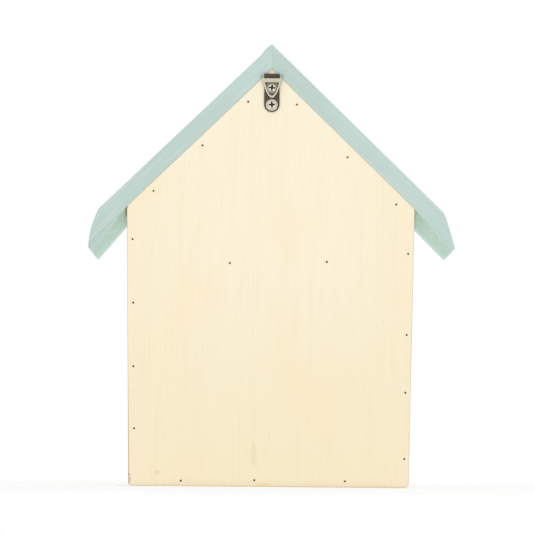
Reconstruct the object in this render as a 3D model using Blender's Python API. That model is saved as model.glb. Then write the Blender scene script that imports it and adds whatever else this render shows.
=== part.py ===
"""Wooden insect hotel with a ridge roof, a nailed back panel and a swinging hanger at its peak.

Metres and radians. The front faces -Y, +X is the right-hand side seen from the front, and the origin is
the middle of the floor board's underside.
"""

import math
from collections import namedtuple

import bmesh
import bpy
import numpy as np
from mathutils import Matrix, Vector
from mathutils.bvhtree import BVHTree

# The clearance between pieces that touch, and how far a cutter runs past what it cuts.
fit_gap = 0.0003
overrun = 0.001

# Roof boards, as prisms that run from front to back and meet at a mitred ridge.
house_height = 0.3465
roof_slope = math.radians(44.3)
roof_thickness = 0.0139
roof_depth = 0.095
roof_front_overhang = 0.010
roof_rim_ease = 0.0007

# The eaves, sawn and rounded by hand, so not quite alike: how far the tip stands out past the body, how far
# the end cut leans and swells past a straight cut, how far the underside drops towards the tip, and the radii
# of the cut's upper corner and of the tip.
left_eave_overhang = 0.0367
left_eave_lean = 0.0086
left_eave_swell = 0.0002
left_eave_drop = 0.0010
left_eave_top_radius = 0.0120
left_eave_tip_radius = 0.0004
right_eave_overhang = 0.0344
right_eave_lean = 0.0077
right_eave_swell = 0.0022
right_eave_drop = 0.0065
right_eave_top_radius = 0.0030
right_eave_tip_radius = 0.0010
eave_cut_steps = 6

# The body: sloped inner boards on side walls, on a floor board.
body_half_width = 0.108
wall_thickness = 0.009
floor_thickness = 0.009
inner_board_thickness = 0.010
board_ease = 0.0005

# The back panel, which stands a little proud of the body's sides, most of all at the eaves.
panel_thickness = 0.004
panel_eave_margin = 0.0046
panel_foot_margin = 0.0004
panel_foot_radius = 0.0022
panel_ease = 0.0004

# Shelves and dividers. The main shelf hangs from the eaves' level, under the cones.
gable_wall_height = 0.0357
main_shelf_thickness = 0.009
divider_thickness = 0.008
middle_bay_width = 0.0612
short_shelf_thickness = 0.007
left_shelf_height_share = 0.61
right_shelf_height_share = 0.39

# The slotted front of the middle chamber.
chamber_front_thickness = 0.006
chamber_front_setback = 0.0015
slot_width = 0.006
slot_end_margin = 0.0278
slot_pitch = 0.0165
slot_count = 3
slot_end_steps = 6
chamber_front_ease = 0.0006

# Drilled nesting blocks.
block_headroom = 0.0025
block_setback = 0.003
block_back_gap = 0.006
block_hole_radius = 0.0026
block_hole_pitch = 0.0145
block_hole_depth = 0.050
block_edge_margin = 0.0055
block_hole_sides = 8
block_ease = 0.0006

# Hollow canes, stacked from wall to divider. The shares are each cane's size beside the row's mean.
cane_wall = 0.0021
cane_front_setback = 0.0035
cane_front_stagger = 0.0035
cane_side_gap = 0.0004
cane_sides = 12
cane_fit_steps = 16
canes_in_wide_row = 4
cane_size_shares = (
    (1.00, 0.93, 1.06, 0.97),
    (0.98, 1.05, 0.92),
    (0.95, 1.04, 0.97, 1.00),
    (1.03, 0.94, 1.00),
)
cane_front_shares = (0.2, 0.9, 0.5, 0.0, 0.7, 0.3, 1.0, 0.6, 0.1, 0.8, 0.4)

# Pine cones behind the net. One ledge winds up each cone, with half a scale over at each turn.
cones_in_bottom_row = 4
cone_turns = 8
cone_scales_per_turn = 7.5
cone_long_share = 1.32
cone_front_setback = 0.0045
cone_front_stagger = 0.007
cone_front_shares = (0.1, 0.8, 0.3, 1.0, 0.5, 0.0, 0.7, 0.4)
cone_widest_share = 0.75
cone_fullness_share = 0.62
scale_notch_share = 0.80
scale_root_share = 0.62
scale_rise_share = 0.50
notch_rise_share = 0.25
root_drop_share = 0.10

# Wire net, stapled to the front edges round the gable.
net_thickness = 0.0008
net_wire = 0.0010
net_cell = 0.0185
net_lap = 0.0055
net_smallest_hole_share = 0.12

# The hanger: a strap rolled round a pin, a swinging eye with a hole, and two pan head screws.
hanger_drop = 0.0055
strap_width = 0.012
strap_sheet = 0.0007
barrel_radius = 0.0016
barrel_seam = math.radians(110)
barrel_steps = 16
strap_end_margin = 0.0056
strap_end_steps = 4
eye_ear_width = 0.0015
eye_top_bar = 0.0034
eye_band = 0.0014
eye_tip_room = 0.0024
eye_tip_band = 0.0017
eye_side_gap = 0.0004
eye_top_gap = 0.0006
eye_steps = 9
screw_spacing_gap = 0.0008
upper_head_radius = 0.0038
lower_head_radius = 0.0047
screw_head_height = 0.0024
screw_head_rim = 0.0009
screw_shank_radius = 0.0015
screw_length = 0.0080
screw_point = 0.0022
screw_recess_width = 0.0011
screw_recess_reach = 0.0022
screw_recess_depth = 0.0013
screw_upper_turn = math.radians(12)
screw_lower_turn = math.radians(38)
screw_sides = 16
pin_overhang = 0.0004
pin_chamfer = 0.0002
pin_sides = 12
knuckle_sides = 16

smooth_angle = math.radians(35)

# Colour (0 to 255, as a screen shows it), roughness and metallic value of each finish.
finishes = {
    "roof_paint": ((193, 215, 208), 0.55, 0.0),
    "plywood": ((250, 240, 211), 0.60, 0.0),
    "pine": ((228, 200, 156), 0.62, 0.0),
    "door_paint": ((190, 212, 205), 0.55, 0.0),
    "cane": ((214, 188, 132), 0.50, 0.0),
    "block_wood": ((206, 168, 120), 0.65, 0.0),
    "cone_scale": ((122, 84, 56), 0.75, 0.0),
    "zinc_wire": ((176, 178, 178), 0.38, 1.0),
    "dark_steel": ((58, 60, 64), 0.42, 1.0),
    "nickel": ((200, 200, 196), 0.28, 1.0),
}

Eave = namedtuple("Eave", "overhang lean swell drop top_radius tip_radius")

# Planes and levels that follow from the sizes above.
back_plane = (roof_depth - roof_front_overhang) / 2
front_plane = -back_plane
roof_front_plane = back_plane - roof_depth
boards_back = back_plane - panel_thickness - fit_gap
inner_half_width = body_half_width - wall_thickness
inner_board_top = roof_thickness + fit_gap
inner_board_bottom = inner_board_top + inner_board_thickness
wall_top = inner_board_bottom + fit_gap
left_eave = Eave(
    left_eave_overhang,
    left_eave_lean,
    left_eave_swell,
    left_eave_drop,
    left_eave_top_radius,
    left_eave_tip_radius,
)
right_eave = Eave(
    right_eave_overhang,
    right_eave_lean,
    right_eave_swell,
    right_eave_drop,
    right_eave_top_radius,
    right_eave_tip_radius,
)
panel_eave_half_width = body_half_width + panel_eave_margin
panel_foot_half_width = body_half_width + panel_foot_margin


def slope_height(x, depth):
    """Height at x of the plane that lies this deep, square to the slope, under the top of the roof."""
    return house_height - depth / math.cos(roof_slope) - abs(x) * math.tan(roof_slope)


main_shelf_top = slope_height(inner_half_width, wall_top) - gable_wall_height
main_shelf_bottom = main_shelf_top - main_shelf_thickness
bay_height = main_shelf_bottom - floor_thickness
divider_middle = (middle_bay_width + divider_thickness) / 2
side_bay_inner = divider_middle + divider_thickness / 2

# The hanger's chain of sizes, all measured down from the pin's axis.
hinge_height = slope_height(0, roof_thickness + fit_gap) - hanger_drop
strap_back = back_plane + fit_gap
strap_front = strap_back + strap_sheet
hinge_plane = strap_back + barrel_radius
barrel_bore = barrel_radius - strap_sheet
pin_radius = barrel_bore - fit_gap
eye_plate_top = barrel_radius + fit_gap
eye_hole_top = eye_plate_top + eye_top_bar
upper_screw_drop = eye_hole_top + eye_top_gap + upper_head_radius
eye_hole_end = upper_screw_drop + upper_head_radius + eye_tip_room
eye_end = eye_hole_end + eye_tip_band
lower_screw_drop = eye_end + screw_spacing_gap + lower_head_radius
strap_end = lower_screw_drop + strap_end_margin
screw_seat = strap_front + fit_gap
screw_bore_radius = screw_shank_radius + fit_gap


def clear_scene():
    for item in list(bpy.data.objects):
        bpy.data.objects.remove(item, do_unlink=True)


def linear(channel):
    """A screen value from 0 to 255 as linear light."""
    value = channel / 255
    if value <= 0.04045:
        return value / 12.92
    return ((value + 0.055) / 1.055) ** 2.4


def add_material(item, finish):
    colour, roughness, metallic = finishes[finish]
    made = bpy.data.materials.new(item.name)
    made.use_nodes = True
    shader = made.node_tree.nodes["Principled BSDF"]
    shader.inputs["Base Color"].default_value = (*(linear(channel) for channel in colour), 1)
    shader.inputs["Roughness"].default_value = roughness
    shader.inputs["Metallic"].default_value = metallic
    item.data.materials.append(made)


def add_object(name, shape, finish=None, place=(0, 0, 0), parent=None):
    """Turns a bmesh into a named object. With no finish it is a cutter, which isn't rendered."""
    bmesh.ops.recalc_face_normals(shape, faces=shape.faces)
    mesh = bpy.data.meshes.new(name)
    shape.to_mesh(mesh)
    shape.free()
    mesh.shade_smooth()
    mesh.set_sharp_from_angle(angle=smooth_angle)
    item = bpy.data.objects.new(name, mesh)
    bpy.context.scene.collection.objects.link(item)
    item.location = place
    item.parent = parent
    if finish:
        add_material(item, finish)
    else:
        item.hide_render = True
        item.display_type = "WIRE"
    return item


def add_empty(name, place, parent=None):
    item = bpy.data.objects.new(name, None)
    bpy.context.scene.collection.objects.link(item)
    item.location = place
    item.parent = parent
    return item


def ring_quads(shape, first, second):
    """Joins two closed rings of vertices with a band of four-sided faces."""
    count = len(first)
    for index in range(count):
        after = (index + 1) % count
        shape.faces.new((first[index], first[after], second[after], second[index]))


def cap(shape, loops):
    """Fills the flat area between an outer ring and the rings inside it."""
    if len(loops) == 1:
        shape.faces.new(loops[0])
        return
    edges = []
    for loop in loops:
        for index, vertex in enumerate(loop):
            edge = shape.edges.get((vertex, loop[index - 1]))
            edges.append(edge or shape.edges.new((vertex, loop[index - 1])))
    bmesh.ops.triangle_fill(shape, use_beauty=True, use_dissolve=False, edges=edges)


def prism(outline, start, end, holes=(), hole_end=None):
    """An outline in X and Z carried along Y from start to end. Its holes stop at hole_end, if that is given."""
    shape = bmesh.new()
    near = [shape.verts.new((x, start, z)) for x, z in outline]
    far = [shape.verts.new((x, end, z)) for x, z in outline]
    ring_quads(shape, near, far)
    near_loops = [near]
    far_loops = [far]
    for hole in holes:
        mouth = [shape.verts.new((x, start, z)) for x, z in hole]
        bottom = [shape.verts.new((x, hole_end or end, z)) for x, z in hole]
        ring_quads(shape, mouth, bottom)
        near_loops.append(mouth)
        if hole_end:
            shape.faces.new(bottom)
        else:
            far_loops.append(bottom)
    cap(shape, near_loops)
    cap(shape, far_loops)
    return shape


def rounded(points, radii, steps=4):
    """The outline with each corner that has a radius replaced by an arc."""
    result = []
    for index, radius in enumerate(radii):
        corner = Vector(points[index])
        if not radius:
            result.append(tuple(corner))
            continue
        before = (Vector(points[index - 1]) - corner).normalized()
        after = (Vector(points[(index + 1) % len(points)]) - corner).normalized()
        half = before.angle(after) / 2
        middle = corner + (before + after).normalized() * radius / math.sin(half)
        start = (corner + before * radius / math.tan(half) - middle).normalized()
        end = (corner + after * radius / math.tan(half) - middle).normalized()
        for step in range(steps + 1):
            result.append(tuple(middle + start.slerp(end, step / steps) * radius))
    return result


def box_outline(left, bottom, right, top):
    return [(left, bottom), (right, bottom), (right, top), (left, top)]


def circle(x, z, radius, sides, start=0.0):
    angles = [start + math.tau * index / sides for index in range(sides)]
    return [(x + radius * math.cos(angle), z + radius * math.sin(angle)) for angle in angles]


def mirrored(outline):
    return [(-x, z) for x, z in reversed(outline)]


def grid_point(x, z):
    """A point's coordinates in steps of a tenth of the fit gap, to compare points by."""
    step = fit_gap / 10
    return round(x / step), round(z / step)


def ease_edges(item, outline, width, segments=1, sharp_at_x=None):
    """Eases the sharp edges that start and end on the outline, apart from those at x = sharp_at_x."""
    rim = {grid_point(x, z) for x, z in outline}
    shape = bmesh.new()
    shape.from_mesh(item.data)
    weights = shape.edges.layers.float.new("bevel_weight_edge")
    for edge in shape.edges:
        ends = [grid_point(vertex.co.x, vertex.co.z) in rim for vertex in edge.verts]
        on_plane = sharp_at_x is not None and all(
            math.isclose(vertex.co.x, sharp_at_x, abs_tol=fit_gap / 2) for vertex in edge.verts
        )
        if all(ends) and not on_plane and edge.calc_face_angle(0) > smooth_angle:
            edge[weights] = 1
    shape.to_mesh(item.data)
    shape.free()
    bevel = item.modifiers.new("Ease", "BEVEL")
    bevel.limit_method = "WEIGHT"
    bevel.width = width
    bevel.segments = segments


def cut(item, cutter):
    boolean = item.modifiers.new(cutter.name, "BOOLEAN")
    boolean.operation = "DIFFERENCE"
    boolean.solver = "EXACT"
    boolean.object = cutter


def fuse(item, addition):
    boolean = item.modifiers.new(addition.name, "BOOLEAN")
    boolean.operation = "UNION"
    boolean.solver = "EXACT"
    boolean.object = addition


def add_roof_board(side, suffix, eave, parent):
    """One roof board: mitred at the ridge, with an end cut that leans out towards its lower tip.

    The cut runs from top to tip as top + (tip - top) * t, with 4 * swell * t * (1 - t) added outwards.
    """
    mitre = fit_gap / 2
    knee = panel_eave_half_width
    tip_half_width = body_half_width + eave.overhang
    top_half_width = tip_half_width - eave.lean
    tip = (tip_half_width, slope_height(tip_half_width, roof_thickness) - eave.drop)
    top = (top_half_width, slope_height(top_half_width, 0))
    end_cut = []
    for step in range(1, eave_cut_steps):
        share = step / eave_cut_steps
        bulge = 4 * eave.swell * share * (1 - share)
        end_cut.append((tip[0] + (top[0] - tip[0]) * share + bulge, tip[1] + (top[1] - tip[1]) * share))
    outline = [
        (mitre, slope_height(mitre, roof_thickness)),
        (knee, slope_height(knee, roof_thickness)),
        tip,
        *end_cut,
        top,
        (mitre, slope_height(mitre, 0)),
    ]
    radii = [0] * len(outline)
    radii[2] = eave.tip_radius
    radii[-2] = eave.top_radius
    outline = rounded(outline, radii)
    if side < 0:
        outline = mirrored(outline)
    board = add_object(
        "roof_board_" + suffix, prism(outline, roof_front_plane, back_plane), "roof_paint", parent=parent
    )
    ease_edges(board, outline, roof_rim_ease, 2, side * mitre)


def add_inner_board(side, suffix, bore, parent):
    """A sloped board under the roof, cut upright at its ends, with a notch for the upper screw."""
    mitre = fit_gap / 2
    outline = [
        (mitre, slope_height(mitre, inner_board_bottom)),
        (body_half_width, slope_height(body_half_width, inner_board_bottom)),
        (body_half_width, slope_height(body_half_width, inner_board_top)),
        (mitre, slope_height(mitre, inner_board_top)),
    ]
    if side < 0:
        outline = mirrored(outline)
    board = add_object(
        "inner_board_" + suffix, prism(outline, front_plane, boards_back), "pine", parent=parent
    )
    cut(board, bore)


def add_side_wall(side, suffix, parent):
    outline = [
        (inner_half_width, floor_thickness + fit_gap),
        (body_half_width, floor_thickness + fit_gap),
        (body_half_width, slope_height(body_half_width, wall_top)),
        (inner_half_width, slope_height(inner_half_width, wall_top)),
    ]
    if side < 0:
        outline = mirrored(outline)
    wall = add_object(
        "side_wall_" + suffix, prism(outline, front_plane, boards_back), "pine", parent=parent
    )
    ease_edges(wall, outline, board_ease)


def add_level_board(name, left, right, bottom, top, parent):
    outline = box_outline(left, bottom, right, top)
    board = add_object(name, prism(outline, front_plane, boards_back), "pine", parent=parent)
    ease_edges(board, outline, board_ease)


def add_body_boards(upper_bore, parent):
    add_roof_board(-1, "left", left_eave, parent)
    add_roof_board(1, "right", right_eave, parent)
    for side, suffix in ((-1, "left"), (1, "right")):
        add_inner_board(side, suffix, upper_bore, parent)
        add_side_wall(side, suffix, parent)
        middle = side * divider_middle
        add_level_board(
            "divider_" + suffix,
            middle - divider_thickness / 2,
            middle + divider_thickness / 2,
            floor_thickness + fit_gap,
            main_shelf_bottom - fit_gap,
            parent,
        )
    add_level_board("floor_board", -body_half_width, body_half_width, 0, floor_thickness, parent)
    shelf_end = inner_half_width - fit_gap
    add_level_board("main_shelf", -shelf_end, shelf_end, main_shelf_bottom, main_shelf_top, parent)


def add_back_panel(parent):
    """The five-cornered panel: its slopes follow the roof's underside, and it narrows towards its foot."""
    depth = roof_thickness + fit_gap
    eave = slope_height(panel_eave_half_width, depth)
    outline = [
        (-panel_foot_half_width, 0),
        (panel_foot_half_width, 0),
        (panel_eave_half_width, eave),
        (0, slope_height(0, depth)),
        (-panel_eave_half_width, eave),
    ]
    outline = rounded(outline, (panel_foot_radius, panel_foot_radius, 0, 0, 0))
    holes = [
        circle(0, hinge_height - drop, screw_bore_radius, screw_sides)
        for drop in (upper_screw_drop, lower_screw_drop)
    ]
    shape = prism(outline, back_plane - panel_thickness, back_plane, holes)
    panel = add_object("back_panel", shape, "plywood", parent=parent)
    ease_edges(panel, outline, panel_ease)


def short_shelf_span(share):
    """The bottom and top of a short shelf whose lower bay takes this share of the free height."""
    free = bay_height - short_shelf_thickness
    bottom = floor_thickness + free * share
    return bottom, bottom + short_shelf_thickness


def side_bay(side, bottom, top):
    """Left, bottom, right and top of the free space in a side column, between two levels."""
    edges = sorted((side * side_bay_inner, side * inner_half_width))
    return edges[0], bottom, edges[1], top


def add_short_shelf(side, suffix, share, parent):
    bottom, top = short_shelf_span(share)
    left, _, right, _ = side_bay(side, bottom, top)
    add_level_board("short_shelf_" + suffix, left + fit_gap, right - fit_gap, bottom, top, parent)


def slot_outline(x, z, width, length):
    """A slot that stands upright, with half-round ends."""
    half = width / 2
    straight = length / 2 - half
    angles = [math.pi * step / slot_end_steps for step in range(slot_end_steps + 1)]
    upper = [(x + half * math.cos(angle), z + straight + half * math.sin(angle)) for angle in angles]
    lower = [(x - half * math.cos(angle), z - straight - half * math.sin(angle)) for angle in angles]
    return upper + lower


def add_chamber_front(parent):
    bottom = floor_thickness + fit_gap
    top = main_shelf_bottom - fit_gap
    half = middle_bay_width / 2 - fit_gap
    middle = (bottom + top) / 2
    length = top - bottom - 2 * slot_end_margin
    places = [(index - (slot_count - 1) / 2) * slot_pitch for index in range(slot_count)]
    slots = [slot_outline(x, middle, slot_width, length) for x in places]
    start = front_plane + chamber_front_setback
    outline = box_outline(-half, bottom, half, top)
    shape = prism(outline, start, start + chamber_front_thickness, slots)
    door = add_object("chamber_front", shape, "door_paint", parent=parent)
    ease_edges(door, outline, chamber_front_ease)


def block_holes(left, bottom, right, top):
    """Holes in rows, with every second row moved over by half a pitch."""
    margin = block_edge_margin + block_hole_radius
    width = right - left - 2 * margin
    height = top - bottom - 2 * margin
    columns = int(width / block_hole_pitch) + 1
    rows = int(height / block_hole_pitch) + 1
    x_middle = (left + right) / 2
    z_middle = (bottom + top) / 2
    holes = []
    for row in range(rows):
        in_row = columns - row % 2
        z = z_middle + (row - (rows - 1) / 2) * block_hole_pitch
        for column in range(in_row):
            x = x_middle + (column - (in_row - 1) / 2) * block_hole_pitch
            holes.append(circle(x, z, block_hole_radius, block_hole_sides))
    return holes


def add_nesting_block(suffix, bay, parent):
    left, bottom, right, top = bay
    left += fit_gap
    right -= fit_gap
    bottom += fit_gap
    top -= block_headroom
    start = front_plane + block_setback
    end = boards_back - block_back_gap
    holes = block_holes(left, bottom, right, top)
    outline = box_outline(left, bottom, right, top)
    shape = prism(outline, start, end, holes, start + block_hole_depth)
    block = add_object("nesting_block_" + suffix, shape, "block_wood", parent=parent)
    ease_edges(block, outline, block_ease)


def drop_height(x, radius, placed, bed):
    """Where a round piece of this radius comes to rest at x: on the bed, or on what lies under it."""
    height = bed + fit_gap + radius
    for other_x, other_z, other_radius in placed:
        reach = radius + other_radius + fit_gap
        if abs(x - other_x) < reach:
            height = max(height, other_z + math.sqrt(reach**2 - (x - other_x) ** 2))
    return height


def pile_canes(bay, mean):
    """(x, z, radius) of each cane: rows of four and three in turn, each dropped onto those below."""
    left, bottom, right, _ = bay
    placed = []
    row_before = []
    for shares in cane_size_shares:
        radii = [share * mean for share in shares]
        row = []
        if len(shares) == canes_in_wide_row:
            spare = right - left - 2 * sum(radii)
            x = left
            for radius in radii:
                x += spare / (canes_in_wide_row + 1) + radius
                row.append((x, radius))
                x += radius
        else:
            for radius, near, far in zip(radii, row_before, row_before[1:]):
                row.append(((near[0] + far[0]) / 2, radius))
        row_before = row
        for x, radius in row:
            placed.append((x, drop_height(x, radius, placed, bottom), radius))
    return placed


def stack_canes(bay):
    """The pile of the thickest canes that fit the bay, in its width and under its top.

    The first trial is the thickest that the width allows. Where its pile is too high, halving closes in.
    """
    left, _, right, top = bay
    widest = max(sum(shares) for shares in cane_size_shares if len(shares) == canes_in_wide_row)
    gaps = (canes_in_wide_row + 1) * cane_side_gap
    thin = 0
    thick = (right - left - gaps) / (2 * widest)
    mean = thick
    for _ in range(cane_fit_steps):
        pile_top = max(z + radius for x, z, radius in pile_canes(bay, mean))
        if pile_top + fit_gap > top:
            thick = mean
        else:
            thin = mean
        mean = (thin + thick) / 2
    return pile_canes(bay, thin)


def tube(outer, bore, length, sides):
    """A straight tube along Y, from zero to its length."""
    shape = bmesh.new()
    rings = []
    for radius, y in ((outer, 0), (outer, length), (bore, length), (bore, 0)):
        rings.append([shape.verts.new((x, y, z)) for x, z in circle(0, 0, radius, sides)])
    for index, ring in enumerate(rings):
        ring_quads(shape, ring, rings[(index + 1) % len(rings)])
    return shape


def add_canes(suffix, bay, parent):
    for index, (x, z, radius) in enumerate(stack_canes(bay)):
        share = cane_front_shares[index % len(cane_front_shares)]
        front = front_plane + cane_front_setback + share * cane_front_stagger
        shape = tube(radius, radius - cane_wall, boards_back - front, cane_sides)
        add_object(f"cane_{suffix}_{index + 1:02d}", shape, "cane", (x, front, z), parent)


def pine_cone(radius, length, hand):
    """A cone along Y, its stem end at zero: one ledge climbs it as a helix, notched between its scales.

    Each turn holds an odd number of half scales, so every scale stands over the notch below it.
    """
    per_turn = int(2 * cone_scales_per_turn)
    count = cone_turns * per_turn
    step = np.arange(count)
    up = (step + 0.5) / count
    angle = hand * math.tau * step / per_turn
    is_scale = step % 2 == 0
    girth = radius * np.sin(math.pi * up**cone_widest_share) ** cone_fullness_share
    lip = girth * np.where(is_scale, 1, scale_notch_share)
    rise = np.where(is_scale, scale_rise_share, notch_rise_share)
    turn = length / (cone_turns + 1)
    ledge_y = turn * (up * cone_turns + root_drop_share + rise)
    root_y = turn * up * cone_turns
    root = girth * scale_root_share
    ledge = np.stack((lip * np.cos(angle), ledge_y, lip * np.sin(angle)), axis=1)
    groove = np.stack((root * np.cos(angle), root_y, root * np.sin(angle)), axis=1)

    shape = bmesh.new()
    stem = shape.verts.new((0, 0, 0))
    tip = shape.verts.new((0, length, 0))
    outer = [shape.verts.new(point) for point in ledge]
    inner = [shape.verts.new(point) for point in groove]
    for index in range(count - 1):
        shape.faces.new((inner[index], inner[index + 1], outer[index + 1], outer[index]))
        if index + 1 + per_turn < count:
            above = index + per_turn
            shape.faces.new((outer[index], outer[index + 1], inner[above + 1], inner[above]))
    start_loop = inner[: per_turn + 1] + outer[:1]
    end_loop = [outer[-1], inner[-1]] + outer[-per_turn - 1 : -1]
    for loop, pole in ((start_loop, stem), (end_loop, tip)):
        for index, vertex in enumerate(loop):
            shape.faces.new((pole, loop[index - 1], vertex))
    bmesh.ops.triangulate(shape, faces=[face for face in shape.faces if len(face.verts) > 3])
    return shape


def nest_radius(x, ceiling, low_x, low_z, low_radius):
    """Radius of the circle at x that touches the lower circle and the slope above it.

    It stands cos(slope) * (ceiling - z) from the slope, and its own radius plus the lower one's from the
    lower circle. Setting both equal to the radius leaves one quadratic.
    """
    steepness = 1 / math.cos(roof_slope)
    rise = ceiling - low_z
    reach = low_radius + fit_gap
    middle = rise * steepness + reach
    rest = (x - low_x) ** 2 + rise**2 - reach**2
    spread = steepness**2 - 1
    return (middle - math.sqrt(middle**2 - spread * rest)) / spread


def cone_places():
    """(x, z, radius) of each cone's round: a bottom row, two rows above it, and what the roof leaves."""
    slope = math.cos(roof_slope)
    pitch = 2 * inner_half_width / cones_in_bottom_row
    ends = [(index - (cones_in_bottom_row - 1) / 2) * pitch for index in range(cones_in_bottom_row)]
    bed = main_shelf_top + fit_gap
    room = slope_height(ends[-1], wall_top) - bed
    radius = min(pitch / 2 - fit_gap, room * slope / (1 + slope))
    low_z = bed + radius
    places = [(x, low_z, radius) for x in ends]
    side = nest_radius(pitch, slope_height(pitch, wall_top), pitch / 2, low_z, radius)
    for x in (-pitch, pitch):
        places.append((x, slope_height(x, wall_top) - side / slope, side))
    middle_z = drop_height(0, radius, places, main_shelf_top)
    places.append((0, middle_z, radius))
    top_room = slope_height(0, wall_top) - middle_z - radius - fit_gap
    top = top_room * slope / (1 + slope)
    places.append((0, middle_z + radius + fit_gap + top, top))
    return places


def points_in_place(item):
    place = Matrix.LocRotScale(item.location, item.rotation_euler, None)
    return [place @ vertex.co for vertex in item.data.vertices]


def tree_of(item, lift=0.0):
    points = [point + Vector((0, 0, lift)) for point in points_in_place(item)]
    return BVHTree.FromPolygons(points, [tuple(face.vertices) for face in item.data.polygons])


def settle(item, bed, others, steps=16):
    """Lowers a piece onto the bed, or onto the first piece that it meets, and leaves the fit gap."""
    lowest = min(point.z for point in points_in_place(item))
    clear = 0.0
    blocked = bed + fit_gap - lowest
    trees = [tree_of(other) for other in others]
    if any(tree_of(item, blocked).overlap(tree) for tree in trees):
        for _ in range(steps):
            trial = (clear + blocked) / 2
            if any(tree_of(item, trial).overlap(tree) for tree in trees):
                blocked = trial
            else:
                clear = trial
        item.location.z += clear + fit_gap
    else:
        item.location.z += blocked


def add_pine_cones(parent):
    """Cones that lie along Y and point by turns to the front and to the back, each settled on the rest."""
    settled = []
    longest = boards_back - front_plane - cone_front_setback - cone_front_stagger - fit_gap
    for index, (x, z, radius) in enumerate(cone_places()):
        length = min(2 * radius * cone_long_share, longest)
        front = front_plane + cone_front_setback + cone_front_shares[index] * cone_front_stagger
        shape = pine_cone(radius, length, 1 if index % 3 else -1)
        cone = add_object(f"pine_cone_{index + 1}", shape, "cone_scale", parent=parent)
        points_back = index % 2 == 0
        cone.location = (x, front if points_back else front + length, z)
        if not points_back:
            cone.rotation_euler.z = math.pi
        settle(cone, main_shelf_top, settled)
        settled.append(cone)


def clip(polygon, border):
    """The part of a convex polygon that lies inside a convex border, both anticlockwise."""
    for index, (end_x, end_z) in enumerate(border):
        start_x, start_z = border[index - 1]

        def inside(point):
            across = (end_x - start_x) * (point[1] - start_z)
            return across - (end_z - start_z) * (point[0] - start_x)

        kept = []
        for place, point in enumerate(polygon):
            before = polygon[place - 1]
            here, there = inside(point), inside(before)
            if (here >= 0) != (there >= 0):
                share = there / (there - here)
                kept.append(tuple(b + share * (p - b) for b, p in zip(before, point)))
            if here >= 0:
                kept.append(point)
        polygon = kept
        if not polygon:
            break
    return polygon


def area(polygon):
    total = 0
    for index, (x, z) in enumerate(polygon):
        before_x, before_z = polygon[index - 1]
        total += before_x * z - x * before_z
    return total / 2


def gable_outline(half_width, bottom, depth):
    """The gable as a five-cornered outline, anticlockwise from its lower left corner."""
    eave = slope_height(half_width, depth)
    return [
        (-half_width, bottom),
        (half_width, bottom),
        (half_width, eave),
        (0, slope_height(0, depth)),
        (-half_width, eave),
    ]


def net_holes(border):
    """The gaps of a six-sided net, each cut off where it meets the border."""
    corner = (net_cell - net_wire) / math.sqrt(3)
    side = net_cell / math.sqrt(3)
    whole = area(circle(0, 0, corner, 6))
    bottom = border[0][1]
    top = border[3][1]
    reach = int(border[1][0] / net_cell) + 1
    holes = []
    for row in range(int((top - bottom) / (1.5 * side)) + 2):
        for column in range(-reach, reach + 1):
            x = (column + row % 2 / 2) * net_cell
            z = bottom + row * 1.5 * side
            hole = clip(circle(x, z, corner, 6, math.pi / 6), border)
            if hole and area(hole) > net_smallest_hole_share * whole:
                holes.append(hole)
    return holes


def add_wire_net(parent):
    """A flat net over the gable, stapled to the front edges of the boards round it."""
    lap = net_lap * math.cos(roof_slope)
    edge = gable_outline(inner_half_width + net_lap, main_shelf_top - net_lap, inner_board_bottom - lap)
    rim = net_wire
    border = gable_outline(
        inner_half_width + net_lap - rim, main_shelf_top - net_lap + rim, inner_board_bottom - lap + rim
    )
    back = front_plane - fit_gap
    shape = prism(edge, back - net_thickness, back, net_holes(border))
    add_object("wire_net", shape, "zinc_wire", parent=parent)


def turned(profile, sides):
    """A profile of (radius, y) turned about Y. A radius of zero is a pole."""
    shape = bmesh.new()
    before = None
    for radius, y in profile:
        if radius:
            ring = [shape.verts.new((x, y, z)) for x, z in circle(0, 0, radius, sides)]
        else:
            ring = [shape.verts.new((0, y, 0))]
        if before and len(ring) == len(before):
            ring_quads(shape, before, ring)
        elif before:
            pole, open_ring = (before[0], ring) if len(before) == 1 else (ring[0], before)
            for index, vertex in enumerate(open_ring):
                shape.faces.new((pole, open_ring[index - 1], vertex))
        before = ring
    return shape


def rod_profile(radius, half_length):
    """The profile of a plain rod, for turned."""
    return [(0, -half_length), (radius, -half_length), (radius, half_length), (0, half_length)]


def add_screw_bore(name, drop, parent):
    """The clearance hole of a hanger screw, from its seat to just past its point."""
    length = screw_length + fit_gap + overrun
    profile = [(0, -length), (screw_bore_radius, -length), (screw_bore_radius, 0), (0, 0)]
    place = (0, screw_seat + overrun, hinge_height - drop)
    return add_object(name, turned(profile, screw_sides), None, place, parent)


def add_screw(name, drop, turn, head_radius, parent):
    """A pan head screw with a pointed shank and a cross recess."""
    dome_radius = head_radius - screw_head_rim / 2
    shoulder = (screw_head_rim + screw_head_height) / 2
    profile = [
        (0, -screw_length),
        (screw_shank_radius, -screw_length + screw_point),
        (screw_shank_radius, 0),
        (head_radius, 0),
        (head_radius, screw_head_rim),
        (dome_radius, shoulder),
        ((head_radius + screw_recess_reach) / 2, screw_head_height - screw_head_rim / 4),
        (0, screw_head_height),
    ]
    place = (0, screw_seat, hinge_height - drop)
    screw = add_object(name, turned(profile, screw_sides), "nickel", place, parent)
    reach = screw_recess_reach
    half = screw_recess_width / 2
    quarter = [(reach, -half), (reach, half), (half, half), (half, reach)]
    cross = []
    for index in range(4):
        angle = math.pi / 2 * index
        for x, z in quarter[1:]:
            cross.append(
                (x * math.cos(angle) - z * math.sin(angle), x * math.sin(angle) + z * math.cos(angle))
            )
    bottom = screw_head_height - screw_recess_depth
    recess = add_object(name + "_recess", prism(cross, bottom, screw_head_height + overrun), parent=screw)
    screw.rotation_euler.y = turn
    cut(screw, recess)


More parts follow.
